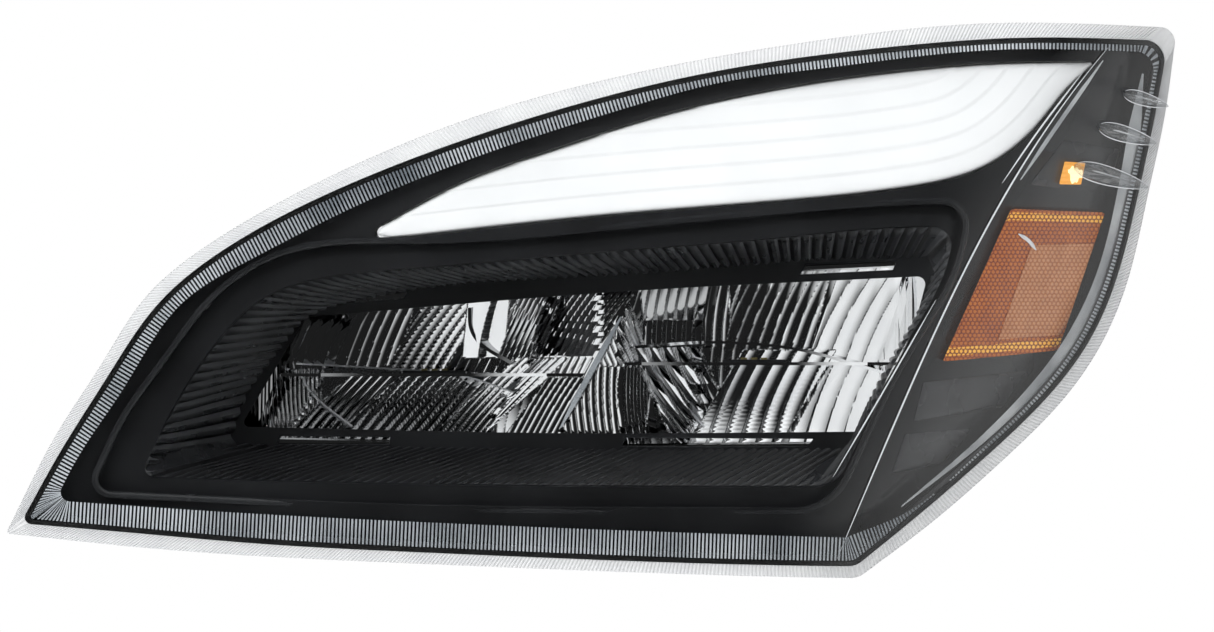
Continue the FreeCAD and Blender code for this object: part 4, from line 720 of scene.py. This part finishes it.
def make_rib_band():
    """Ribs moulded under the lens, inside the seal: slim bars with dark gaps between them; the bars' pale
    grey is a painted sheen of the light that clear ribs catch.
    """
    numbers = counts(SEAL, RIB_PITCH / 4)
    outer, edge = ring(SEAL, -2.0, numbers), ring(RIBS_IN, 0, counts(RIBS_IN, RIB_PITCH / 8))
    inner = np.array([edge[np.argmin(((edge - spot) ** 2).sum(axis=1))] for spot in outer])
    points, faces = [], []
    for k in range(0, len(outer) - 3, 4):
        ends = np.array([outer[k], outer[k + 2], inner[k + 2], inner[k]])
        if np.linalg.norm(ends[0] - ends[3]) < SHORTEST_RIB:
            continue
        if np.linalg.norm(ends[2] - ends[3]) < NARROWEST_RIB:
            ends[2] = ends[3] + (ends[1] - ends[0]) * 0.2
        start = len(points)
        points += [*under_lens(ends, RIB_FRONT), *under_lens(ends, RIB_BACK)]
        for face in ((3, 2, 1, 0), (4, 5, 6, 7), (0, 1, 5, 4), (1, 2, 6, 5), (2, 3, 7, 6), (3, 0, 4, 7)):
            faces.append([start + i for i in face])
    add_piece("lens_ribs", points, faces, RIB_PAINTED_SHEEN, 30)


def make_painted_sheen_band():
    """Pale band down the lens's outer side: a painted sheen of light on the clear lens."""
    run = curve_through([(97.0, 91), (96.3, 80), (95.4, 68.5), (93.8, 55), (91.5, 44.5), (88.1, 35),
                         (82.4, 23.5), (76.0, 12.8)], 90)
    width = np.interp(np.linspace(0, 1, 90), [0, 0.1, 0.5, 0.75, 1], [0.6, 4.2, 4.4, 2.6, 0.4])
    aside = left_of(headings(run)) * width[:, None]
    flat = grid_between(run - aside, run + aside, 7)
    shell("lens_edge_band", under_lens(flat, 4.6), under_lens(flat, 5.4), LENS_PAINTED_SHEEN)


def make_crease_line():
    """The painted highlight that the lens's crease draws as a bright line."""
    z = up(np.linspace(3.5, 95.5, 90))
    path = under_lens(np.stack([crease_at(z) + 1.0, z], -1), 4.0)
    strip_along("crease_line", path, [(-0.55, 0), (-0.3, 0.4), (0.3, 0.4), (0.55, 0), (0, -0.4)],
                WHITE_PAINTED_HIGHLIGHT)


def make_streaks():
    """Painted highlights as fine bright lines: the fold of the side face, and the bezel's edge beside the
    aperture; the widest one is a painted sheen.
    """
    lines = [("side_fold", [(93.4, 93.2), (89.6, 82.0), (86.2, 71.6)], 4.4, 1.3),
             ("side_fold_fine", [(91.6, 91.0), (87.6, 80.0), (84.6, 71.0)], 4.4, 0.5),
             ("bezel_edge", [(78.9, 50.0), (74.5, 34.0), (70.1, 18.3)], 12.6, 0.45)]
    for name, places, depth, half in lines:
        path = under_lens(curve_through(places), depth)
        strip_along(name, path, [(-half, 0), (-half / 2, 0.4), (half / 2, 0.4), (half, 0), (0, -0.4)],
                    WHITE_PAINTED_HIGHLIGHT if half < 1 else LENS_PAINTED_SHEEN)


def make_fins():
    """Three clear leaf-shaped fins on the lens's side face, each with two painted highlights along its rims
    and a painted sheen down its spine.
    """
    lean = math.radians(FIN_FALL)
    t = np.linspace(0, 2 * math.pi, 73)[:-1]
    for number, (spot, half_length, half_height) in enumerate(FINS, start=1):
        rows = []
        for share in np.linspace(0.0, 1.0, 12):
            radius, rise = math.cos(share * math.pi / 2), math.sin(share * math.pi / 2)
            leaf = half_length * LEAF_LENGTH * radius * np.cos(t)
            tall = half_height * LEAF_HEIGHT * radius * np.sin(t) * (1 - LEAF_POINT * np.cos(t))
            flat = flat_point(spot) + np.stack([leaf * math.cos(lean) - tall * math.sin(lean),
                                                leaf * math.sin(lean) + tall * math.cos(lean)], -1)
            flute = FIN_FLUTE * np.sin(t * 9) * (1 - share) * share * 4
            rows.append(under_lens(flat, 0.6 - FIN_BULGE * rise + flute))
        base = rows[0] + np.array([0, 1.2, 0])
        rings = np.array([base] + rows)
        tube(f"lens_fin_{number}", rings, rings[[0, -1]].mean(axis=1), FIN_CLEAR, 50)
        # painted highlights along the fin's upper and lower rims
        rim = np.concatenate([rows[1], rows[1][:1]]) + np.array([0, -0.2, 0])
        for part, a, b in (("upper", 3, 33), ("lower", 40, 68)):
            strip_along(f"lens_fin_{number}_{part}", rim[a:b], [(-0.35, 0), (0, 0.35), (0.35, 0), (0, -0.3)],
                        WHITE_PAINTED_HIGHLIGHT)
        # painted sheen down the fin's spine
        spine = rows[7][4:34] * 0.6 + rows[7][38:68][::-1] * 0.4 + np.array([0, -0.3, 0])
        strip_along(f"lens_fin_{number}_spine", spine, [(-0.5, 0), (0, 0.3), (0.5, 0), (0, -0.3)],
                    LENS_PAINTED_SHEEN)


# ---- bezel

FLUTE_PITCH = 7.4
PER_FLUTE = 10  # points to each flute
FLUTE_START, FLUTE_END = 0.03, 0.985  # shares of the funnel's depth
FLOOR_LOW, FLOOR_HIGH = (11, 18), (80, 60)  # the recess floor runs straight between these


def funnel_ring(share, distance, numbers):
    """A ring of the funnel's wall, from the recess floor (0) to the aperture rim (1)."""
    front, rear = ring(FLUTE_FRONT, distance, numbers), ring(FLUTE_BACK, distance, numbers)
    low, high = flat_point(FLOOR_LOW), flat_point(FLOOR_HIGH)
    start = depth_at(*low) + RECESS_DEPTH
    lean = (depth_at(*high) + RECESS_DEPTH - start) / (high[0] - low[0])
    y_front = start + lean * (front[:, 0] - low[0])
    return in_depth(front + (rear - front) * share, y_front + (APERTURE - y_front) * share)


def slid(points, slide):
    """A ring's points moved along it by a number of places, which may be a fraction."""
    at = (np.arange(len(points)) - slide) % len(points)
    low = at.astype(int)
    share = (at - low)[:, None]
    return points[low] * (1 - share) + points[(low + 1) % len(points)] * share


def make_flutes():
    """Fluted lining of the funnel: rounded flutes that start in a scallop and run back to the aperture, in a
    black lighter than the bezel's as a painted sheen, with painted shade on one flank of each flute and a
    painted highlight on the other.
    """
    numbers = counts(FLUTE_FRONT, FLUTE_PITCH / PER_FLUTE)
    total = sum(numbers) // PER_FLUTE * PER_FLUTE
    place = np.arange(sum(numbers))
    hump = np.where(place < total, np.abs(np.sin(place / PER_FLUTE * math.pi)), 0)
    height = funnel_ring(0, 0, numbers)[:, 2]
    lowest = np.clip((up(30) - height) / (up(30) - up(18)), 0, 1)
    twist = (0.4 + 2.6 * lowest) * PER_FLUTE

    def lining(level, lift):
        base, inner = [slid(funnel_ring(level, away, numbers), twist * level) for away in (0, -1)]
        return base + (inner - base) * np.broadcast_to(lift, len(base))[:, None]

    levels = [*np.linspace(FLUTE_START, 0.24, 8), *np.linspace(0.34, FLUTE_END, 8)]
    rises = [math.sin(min(1, (level - FLUTE_START) / 0.16) * math.pi / 2) for level in levels]
    rows = [lining(level, 0.25 + 2.2 * rise * hump) for level, rise in zip(levels, rises)]
    rows += [lining(level, 0.08) for level in (FLUTE_END, FLUTE_START)]
    piece = ring_piece("bezel_flutes", rows, FLUTE_PAINTED_SHEEN, 50)
    # one flank of each flute gets painted shade, the other a painted highlight
    share = place % PER_FLUTE
    tones = np.where(place >= total, 0, np.where(share < 3, 1, np.where(share >= 7, 2, 0)))
    tone_faces(piece, [FLUTE_PAINTED_SHEEN, FLUTE_PAINTED_SHADE, FLUTE_PAINTED_HIGHLIGHT], np.tile(tones, len(rows) - 3))


def make_step_lip():
    """Rounded lip along the recess's edge, in a lighter black than the bezel's as a painted highlight."""
    numbers = counts(STEP, 4)
    profile = [(4.0, 13.85), (2.2, 13.75), (0.9, 14.1), (0.1, 15.0), (-0.35, 16.4), (-0.5, 21.5), (0.4, 21.5),
               (0.8, 15.4), (2.2, 14.6), (4.0, 14.4)]
    rows = [under_lens(ring(STEP, side, numbers), depth) for side, depth in profile]
    ring_piece("bezel_lip", rows, LIP_PAINTED_HIGHLIGHT, 60)


def make_window_frames():
    """A fine raised edge round each slot of the aperture rim, in the lip's lighter black as a painted
    highlight.
    """
    for number, corners in enumerate(WINDOWS, start=1):
        spots = np.array([flat_point(p) for p in corners])
        following = np.roll(spots, -1, axis=0)
        shares = np.linspace(0, 1, 10)[:-1, None]
        loop = np.concatenate([a + (b - a) * shares for a, b in zip(spots, following)])
        away = loop - spots.mean(axis=0)
        away = np.clip(away / np.abs(away).max(axis=0) * 1.4, -1, 1)
        rows = [in_depth(loop + away * grow, APERTURE - lift)
                for grow, lift in ((0.0, -0.1), (0.0, 0.6), (0.9, 0.6), (0.9, -0.1))]
        ring_piece(f"window_frame_{number}", rows, LIP_PAINTED_HIGHLIGHT)


# ---- daytime panel

def distance_to(run, points):
    """Shortest distance from each point to a run."""
    best = np.full(points.shape[:-1], 1e9)
    for a, b in zip(run, run[1:]):
        leg = b - a
        share = np.clip(((points - a) @ leg) / max(leg @ leg, 1e-9), 0, 1)
        best = np.minimum(best, np.linalg.norm(points - a - share[..., None] * leg, axis=-1))
    return best


TERRACE = 12.5  # distance between the panel's fine steps
TERRACE_RISE = 0.8


def make_daylight_panel():
    """White panel with fine steps that follow its lower edge and turn up at its outer end."""
    upper, lower = side_run(GUIDE, 0, 420), side_run(GUIDE, 1, 420)[::-1]
    flat = grid_between(lower, upper, 64)
    from_lower = distance_to(lower[::8], flat)
    from_edge = np.minimum(distance_to(upper[::8], flat), from_lower)
    past = from_lower % TERRACE
    terrace = TERRACE_RISE * (np.clip(past / 1.2, 0, 1) - past / TERRACE)
    roll = 1.8 * np.exp(-from_edge / 1.6)
    front = under_lens(flat, GUIDE_DEPTH + 0.3 + roll - terrace)
    back = under_lens(flat, GUIDE_DEPTH + GUIDE_WALL - 0.1)
    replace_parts(shell("daylight_panel", front, back, PANEL_WHITE, 50), "light_guide")


# ---- side lamps

HEX = 2.9  # across one small prism of the reflex
ROOT_3 = math.sqrt(3)
PRISM_FRONT, PRISM_BACK = 10.4, 13.6  # behind the lens surface
HOT_SPOT, HOT_SIZE = (91.1, 72.7), (5.0, 5.5)
TAN_FACET = [(87.3, 59.9), (93.4, 60.3), (91.6, 49.0), (90.0, 43.7), (84.4, 42.8)]
EMBOSSED = [
    [((76.9, 28.0), 2, []), ((77.8, 35.2), 3, []), ((87.7, 37.3), 3, []), ((85.4, 30.7), 3, [])],
    [((75.0, 18.7), 2, []), ((76.3, 25.9), 2, []), ((83.0, 26.9), 3, []), ((79.7, 20.4), 3, [])],
    [((86.9, 70.8), 2, []), ((90.0, 78.8), 2, []), ((95.3, 77.4), 2, []), ((94.2, 69.4), 2, [])],
]


def hex_edge(flat):
    """0 at the middle of a hexagonal prism, 1 at its edge."""
    best = np.full(flat.shape[:-1], 1e9)
    for shift in (0.5, 1.0):
        dx = np.abs((flat[..., 0] / HEX + shift) % 1 - 0.5)
        dz = np.abs((flat[..., 1] / (HEX * ROOT_3) + shift) % 1 - 0.5) * ROOT_3
        best = np.minimum(best, np.maximum(dx, dx / 2 + dz * ROOT_3 / 2))
    return best * 2


def inside_of(corners, flat):
    """Which points lie inside a convex outline given clockwise in per cent."""
    spots = [flat_point(p) for p in corners]
    inside = np.ones(flat.shape[:-1], dtype=bool)
    for a, b in zip(spots, spots[1:] + spots[:1]):
        leg = b - a
        inside &= leg[0] * (flat[..., 1] - a[1]) - leg[1] * (flat[..., 0] - a[0]) <= 0
    return inside


def make_reflex():
    """Amber reflex: hexagonal prisms with painted shade in the grooves between them, yellow rows at its top
    and bottom and one raised paler facet, all with a painted glow.
    """
    rows = 220
    flat = four_sided(REFLEX, 210, rows, top=0)
    level = np.linspace(1, 0, rows)[:, None]
    border = np.clip(np.minimum(level, 1 - level) * 30, 0, 1)
    raised = 0.5 * hex_edge(flat) * border - 0.5 * inside_of(TAN_FACET, flat)
    piece = shell("reflex_prisms", under_lens(flat, PRISM_FRONT + raised), under_lens(flat, PRISM_BACK),
                  REFLEX_AMBER_PAINTED_GLOW, 50)
    middles = cell_middles(flat)
    # faces along the prisms' grooves get painted shade
    edge = hex_edge(middles) > 0.72
    level = np.broadcast_to((level[:-1] + level[1:]) / 2, edge.shape)
    # the yellow rows, with their painted glow
    painted_glow_rows = ((level > 0.925) & (level < 0.975)) | ((level < 0.085) & (level > 0.03))
    tones = np.where(inside_of(TAN_FACET, middles), np.where(edge, 3, 2), np.where(edge, 1, 0))
    tones = np.where(painted_glow_rows, np.where(edge, 1, 4), tones)
    tone_faces(piece, [REFLEX_AMBER_PAINTED_GLOW, REFLEX_PAINTED_GROOVE_SHADE, REFLEX_FACET_PAINTED_GLOW, REFLEX_FACET_PAINTED_GROOVE_SHADE, REFLEX_YELLOW_PAINTED_GLOW], tones)
    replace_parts(piece, "side_reflex")
    # painted highlight: a small glint on the reflex
    glint = under_lens(curve_through([(86.1, 61.9), (87.0, 60.7), (87.7, 59.0)], 30), 9.6)
    strip_along("reflex_glint", glint, [(-1.2, 0), (-0.6, 0.5), (0.9, 0.4), (1.2, 0), (0, -0.4)],
                WHITE_PAINTED_HIGHLIGHT)


def make_marker():
    """Small lit marker, hottest in a ragged spot at its middle."""
    flat = four_sided(MARKER, 40, 60)
    wave = np.sin(flat[..., 1] * 2.2) * 0.25
    piece = shell("marker_prisms", under_lens(flat, PRISM_FRONT - 0.1 + wave), under_lens(flat, PRISM_BACK),
                  MARKER_LIT, 50)
    middles = cell_middles(flat)
    off = (middles - flat_point(HOT_SPOT)) / HOT_SIZE
    lobes = np.sin(3 * np.arctan2(off[..., 1], off[..., 0]) + 1)
    ragged = 0.9 + 0.14 * lobes + 0.1 * np.sin(middles[..., 0] * 2)
    tone_faces(piece, [MARKER_LIT, MARKER_HOT], (np.linalg.norm(off, axis=-1) < ragged).astype(int))
    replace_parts(piece, "marker_lens")


def make_embossed():
    """Shallow raised fields of the smoked side panel."""
    for number, corners in enumerate(EMBOSSED, start=1):
        flat = four_sided(corners, 40, 24)
        aside, down = np.linspace(0, 1, 40)[None, :], np.linspace(0, 1, 24)[:, None]
        rim = np.minimum(np.minimum(aside, 1 - aside) * 12, np.minimum(down, 1 - down) * 8)
        swell = np.sqrt(np.clip(rim, 0, 1))
        shell(f"panel_field_{number}", under_lens(flat, 13.75 - 1.1 * swell), under_lens(flat, 13.9),
              SMOKED_PALE, 50)


# ---- mirror bowls

BOWL_CENTRES = {"inner": (36.0, 36.5), "outer": (63.5, 38.5)}
# Zones of each mirror: extent (left, right, low, high in per cent), lean, flute pitch in mm, the slope
# towards the left at the zone's two ends, how far it swings inside a flute, and the depth of dimples in mm.
ZONES = {
    "inner": [
        ((0, 100, 0, 100), 0.5, 6.5, 0.0, 0.1, 0.12, 0.0),
        ((0, 33.5, 37.5, 100), 0.3, 6.5, -0.04, 0.14, 0.15, 0.0),
        ((33.5, 38.6, 37.0, 100), 0.6, 6.0, 0.18, 0.36, 0.12, 0.05),
        ((38.6, 42.2, 39.5, 100), 0.1, 26.0, 0.36, 0.42, 0.05, 0.0),
        ((42.2, 45.8, 38.0, 100), 0.35, 3.6, 0.02, 0.06, 0.14, 0.0),
        ((45.8, 60, 36.0, 100), 0.5, 4.6, 0.36, 0.42, 0.20, 0.0),
        ((0, 26.2, 0, 37.5), 0.1, 2.7, 0.0, 0.06, 0.30, 0.0),
        ((26.2, 30.5, 0, 37.0), 1.1, 6.0, 0.0, 0.16, 0.14, 0.0),
        ((30.5, 39.5, 0, 36.8), 1.1, 7.0, 0.20, 0.40, 0.14, 0.05),
        ((39.5, 44.0, 0, 39.5), 1.1, 5.0, 0.36, 0.42, 0.22, 0.0),
        ((44.0, 60, 0, 36.0), 0.75, 4.0, 0.10, 0.26, 0.26, 0.0),
    ],
    "outer": [
        ((0, 100, 0, 100), 0.1, 7.0, 0.02, 0.08, 0.2, 0.0),
        ((0, 53.9, 38.0, 100), -0.45, 3.8, 0.34, 0.40, 0.26, 0.0),
        ((53.9, 61.5, 41.5, 100), -0.05, 6.4, 0.10, 0.02, 0.34, 0.0),
        ((61.5, 69.0, 41.0, 100), 0.25, 7.4, 0.0, 0.14, 0.2, 0.0),
        ((69.0, 100, 38.0, 100), 0.35, 11.0, 0.30, 0.42, 0.13, 0.0),
        ((0, 54.5, 0, 38.0), 0.12, 4.4, 0.06, 0.08, 0.50, 0.0),
        ((54.5, 60.5, 0, 41.5), -0.45, 8.6, 0.0, 0.06, 0.36, 0.0),
        ((60.5, 68.5, 0, 41.0), 0.6, 10.5, 0.14, 0.32, 0.2, 0.08),
        ((68.5, 100, 0, 38.5), 0.55, 12.0, 0.32, 0.42, 0.12, 0.0),
    ],
}
RIDGE_FOOT, RIDGE_HEAD = (46.8, 26.7), (52.2, 47.5)
RIDGE_LEVEL = 1.2  # the ridge's height in front of the bowls' rim
RIDGE_NEAR, RIDGE_FAR = 50.2, 51.9  # the ridge's flat top, where it isn't leaning
RIDGE_SLOPES = 1.2, 1.1  # how steeply it falls to the left and to the right
FLANK_FOOT, FLANK_HEAD = (21.4, 27.6), (25.0, 46.0)  # the inner mirror's far end
FLANK_LEVEL, FLANK_SLOPE, FLANK_REACH = 6, 1.6, 3.5
FLUTE_BEND = 0.003  # how the flutes curve, per mm
SKIN = 1.0  # how far the flutes stand off the dish
DIMPLE_PITCH = 2.7
MIRROR_SIDES = 22, 78  # per cent
BOWL_ROOM = 6.8  # from the opening's edge to the mirrors' edge


def leaning(foot, head, z):
    """X of a straight line from a foot to a head, both in per cent."""
    foot, head = flat_point(foot), flat_point(head)
    return foot[0] + (head[0] - foot[0]) * (z - foot[1]) / (head[1] - foot[1])


def ridge_at(z):
    """X of the leaning ridge between the two mirrors."""
    return leaning(RIDGE_FOOT, RIDGE_HEAD, z)


def mirror_base(name, x, z):
    """Depth of a mirror without its flutes: the dish, rising to the ridge between the two bowls."""
    centre = flat_point(BOWL_CENTRES[name])
    dish = DISH_BACK - ((x - centre[0]) ** 2 + (z - centre[1]) ** 2) / (4 * BOWL_FOCAL)
    left, right = np.minimum(ridge_at(z), across(RIDGE_NEAR)), np.maximum(ridge_at(z), across(RIDGE_FAR))
    ridge = (BOWL_FRONT - RIDGE_LEVEL + RIDGE_SLOPES[0] * np.maximum(0, left - x)
             + RIDGE_SLOPES[1] * np.maximum(0, x - right))
    base = np.minimum(dish, ridge)
    if name == "outer":
        return base
    past = np.maximum(x - leaning(FLANK_FOOT, FLANK_HEAD, z), -FLANK_REACH)
    return np.minimum(base, BOWL_FRONT + FLANK_LEVEL + FLANK_SLOPE * past)


def bowl_lattice(name, columns, rows):
    """Points over a bowl's room, with columns that lean from the end of the opening to the ridge."""
    loop = ring(OPENING, BOWL_ROOM, counts(OPENING, 2))
    low_left, top_left, top_right, low_right = ring(OPENING, BOWL_ROOM, [1] * 8)[::2, 0]
    ends = [(low_left + 1, low_right - 1), (top_left + 1, top_right - 1)]
    ridge = ridge_at(loop[:, 1].min()), ridge_at(loop[:, 1].max() - 8)
    ends = [(left, at) if name == "inner" else (at, right) for (left, right), at in zip(ends, ridge)]
    middle = loop[:, 1].mean()
    runs = []
    for side, (start, end) in zip((loop[:, 1] < middle, loop[:, 1] >= middle), ends):
        edge = loop[side][np.argsort(loop[side][:, 0])]
        x = np.linspace(start, end, columns)
        runs.append(np.stack([x, np.interp(x, edge[:, 0], edge[:, 1])], -1))
    return grid_between(*runs, rows)


def fluted(name, u, x, z, zone):
    """Depth of one zone: each flute keeps its own slope to the left and is a little hollow."""
    (left, right, _, _), lean, pitch, start, end, swing, dimple = zone
    down = z - z.mean()
    share = (x - x.mean() - lean * down - FLUTE_BEND * down ** 2) / pitch % 1
    offset = (share - 0.5) * pitch
    left, right = max(left, MIRROR_SIDES[0]), min(right, MIRROR_SIDES[1])
    place = np.clip((u - offset / WIDTH * 100 - left) / (right - left), 0, 1)
    slope = start + (end - start) * place
    base = mirror_base(name, x - offset, z)
    steep = mirror_base(name, x - offset - pitch / 2, z) - mirror_base(name, x - offset + pitch / 2, z)
    margin = np.abs(steep - slope * pitch) / 2
    bow = share * (1 - share)
    dots = dimple * (1 - np.cos(z * 2 * math.pi / DIMPLE_PITCH)) * 2 * bow
    return base - SKIN - margin - slope * offset - swing * pitch * bow + dots


def make_bowl(name):
    """A faceted, fluted mirror in front of the plain dish."""
    flat = bowl_lattice(name, 360, 130)
    x, z = flat[..., 0], flat[..., 1]
    u, v = (x / WIDTH + 0.5) * 100, ((z - MIDDLE) / HEIGHT + 0.5) * 100
    plain = mirror_base(name, x, z)
    depth = plain - SKIN
    for zone in ZONES[name]:
        (left, right, low, high), lean = zone[:2]
        shifted = u - lean * HEIGHT / WIDTH * (v - (max(low, 26) + min(high, 50)) / 2)
        inside = (shifted >= left) & (shifted < right) & (v >= low) & (v < high)
        depth[inside] = fluted(name, shifted, x, z, zone)[inside]
    front = np.maximum(np.minimum(depth, plain - 0.6), BOWL_FRONT - 3.4)
    shell(f"{name}_mirror", in_depth(flat, front), in_depth(flat, plain - 0.2), MIRROR, 13,
          "carrier")


# Edges that stand on the mirrors: name, mirror, places in per cent, height in mm over the mirror, half
# thickness in mm, material.
# inner_shelf, inner_arc and outer_arc are white painted highlights along the mirrors' edges
MIRROR_EDGES = [
    ("inner_shelf", "inner", [(24.2, 38.5), (33.2, 37.4), (39.6, 35.6), (42.8, 33.3)], 11, 0.5,
     WHITE_PAINTED_HIGHLIGHT),
    ("inner_arc", "inner", [(24.2, 38.5), (25.0, 34.4), (26.6, 30.8), (28.9, 27.1)], 4.5, 0.6, WHITE_PAINTED_HIGHLIGHT),
    ("inner_hook", "inner", [(39.0, 48.6), (39.1, 45.0), (40.0, 42.0), (42.6, 38.6)], 7, 1.1, MIRROR),
    ("outer_shelf", "outer", [(53.3, 41.5), (58.8, 42.3), (63.1, 42.1), (67.4, 41.0), (74.6, 36.9)], 11, 0.9,
     MIRROR),
    ("outer_arc", "outer", [(52.2, 47.5), (53.5, 41.4), (56.1, 34.4), (59.2, 27.1)], 4.5, 0.6, WHITE_PAINTED_HIGHLIGHT),
]


def make_mirror_edges():
    """Curved edges of the shelves and side facets, three of them white painted highlights, and the ribbed
    strip on the ridge in pale painted sheen.
    """
    for label, name, places, height, half, material in MIRROR_EDGES:
        run = curve_through(places, 70)
        base = mirror_base(name, run[:, 0], run[:, 1])
        standing_strip(label, run, np.maximum(base - height, BOWL_FRONT - 3), base - 0.3, half, material)
    count = 80
    z = np.linspace(up(RIDGE_FOOT[1]) + 1, up(RIDGE_HEAD[1]) - 2, count)
    ribs = 0.25 * (np.arange(count) % 2)
    path = np.stack([ridge_at(z), BOWL_FRONT - RIDGE_LEVEL - 3.2 + ribs, z], -1)
    # the divider's pale grey is a painted sheen
    strip_along("mirror_divider", path, [(-1.9, 0), (-1.5, 0.8), (1.5, 0.8), (1.9, 0), (0, -0.6)],
                RIB_PAINTED_SHEEN, 20, "carrier")


# ---- studio

# Soft boxes of the studio: axis, where each starts and is full on the unit sphere, strength.
SOFT_BOXES = [(2, 0.40, 0.72, 1.3), (0, -0.24, -0.62, 1.25), (0, 0.42, 0.75, 0.45), (2, -0.55, -0.7, 0.7),
              (1, 0.2, 0.6, 0.3)]
DIMMEST, BRIGHTEST = 0.016, 1.5


def make_world():
    """White to the eye; to the object, soft boxes above, below, behind and at both sides and a dim front."""
    world = bpy.data.worlds.new("studio")
    bpy.context.scene.world = world
    world.use_nodes = True
    tree = world.node_tree
    tree.nodes.clear()

    def maths(operation, first, second):
        node = tree.nodes.new("ShaderNodeMath")
        node.operation = operation
        tree.links.new(first, node.inputs[0])
        if isinstance(second, float):
            node.inputs[1].default_value = second
        else:
            tree.links.new(second, node.inputs[1])
        return node.outputs[0]

    place = tree.nodes.new("ShaderNodeTexCoord").outputs["Generated"]
    parts = tree.nodes.new("ShaderNodeSeparateXYZ")
    tree.links.new(place, parts.inputs[0])
    total = None
    for axis, start, end, strength in SOFT_BOXES:
        node = tree.nodes.new("ShaderNodeMapRange")
        node.interpolation_type = "SMOOTHSTEP"
        for socket, number in (("From Min", start), ("From Max", end), ("To Min", 0.0), ("To Max", strength)):
            node.inputs[socket].default_value = number
        tree.links.new(parts.outputs[axis], node.inputs["Value"])
        box = node.outputs["Result"]
        total = maths("ADD", total, box) if total else box
    total = maths("MAXIMUM", maths("MINIMUM", total, BRIGHTEST), DIMMEST)
    studio = tree.nodes.new("ShaderNodeBackground")
    tree.links.new(total, studio.inputs["Strength"])
    plain = tree.nodes.new("ShaderNodeBackground")
    plain.inputs["Strength"].default_value = 1.0
    plain.inputs["Color"].default_value = (1, 1, 1, 1)
    pick = tree.nodes.new("ShaderNodeMixShader")
    seen = tree.nodes.new("ShaderNodeLightPath")
    tree.links.new(seen.outputs["Is Camera Ray"], pick.inputs["Fac"])
    tree.links.new(studio.outputs[0], pick.inputs[1])
    tree.links.new(plain.outputs[0], pick.inputs[2])
    output = tree.nodes.new("ShaderNodeOutputWorld")
    tree.links.new(pick.outputs[0], output.inputs["Surface"])


LIGHTS_AIM = Vector((0, -0.2, 0.02))


def add_light(name, place, size, power, glossy=True):
    """A soft rectangular light that looks at the lamp."""
    data = bpy.data.lights.new(name, "AREA")
    data.shape, data.size, data.size_y, data.energy = "RECTANGLE", size[0], size[1], power
    light = bpy.data.objects.new(name, data)
    light.location = place
    light.rotation_euler = (LIGHTS_AIM - light.location).to_track_quat("-Z", "Y").to_euler()
    light.visible_camera = False
    light.visible_glossy = glossy
    bpy.context.scene.collection.objects.link(light)


FLOOR_DROP = 0.34
FLOOR_RADIUS = 6.0


def make_floor():
    """A wide pale disc below the lamp."""
    mesh = bpy.data.meshes.new("floor")
    angles = np.linspace(0, 2 * math.pi, 97)[:-1]
    points = [(FLOOR_RADIUS * math.cos(a), FLOOR_RADIUS * math.sin(a), -FLOOR_DROP) for a in angles]
    mesh.from_pydata(points, [], [list(range(len(points)))])
    mesh.materials.append(surface("floor_pale", (0.85,) * 3, (0.87,) * 3, 400, 0.6))
    floor = bpy.data.objects.new("floor", mesh)
    bpy.context.scene.collection.objects.link(floor)
    floor.visible_glossy = False


CAMERA_LENS = 400
SENSOR = 36
FRAMED_WIDTH = 0.768
FRAMED_MIDDLE, FRAMED_DEPTH = (50.85, 47.1), -200


def make_camera():
    """Straight in front, far off, level with the middle of the lens."""
    data = bpy.data.cameras.new("camera")
    data.sensor_width = SENSOR
    data.lens = CAMERA_LENS
    data.clip_end = 100
    camera = bpy.data.objects.new("camera", data)
    x, z = flat_point(FRAMED_MIDDLE)
    camera.location = Vector((x, FRAMED_DEPTH, z)) * MM - Vector((0, FRAMED_WIDTH * CAMERA_LENS / SENSOR, 0))
    camera.rotation_euler = (math.pi / 2, 0, 0)
    bpy.context.scene.collection.objects.link(camera)
    bpy.context.scene.camera = camera
    bpy.context.scene.view_settings.view_transform = "Standard"


make_camera()
make_world()
make_floor()
add_light("key_front", (-1.2, -3.2, 2.2), (2.4, 1.6), 95, glossy=False)
add_light("fill_rear", (0.8, 2.6, 1.8), (2.4, 1.6), 60)
dress_frame()
for make in (make_lens, make_border, make_seal_line, make_rib_band, make_painted_sheen_band, make_crease_line,
             make_streaks, make_fins, make_flutes, make_step_lip, make_window_frames, make_daylight_panel,
             make_reflex, make_marker, make_embossed):
    make()
make_bowl("inner")
make_bowl("outer")
make_mirror_edges()
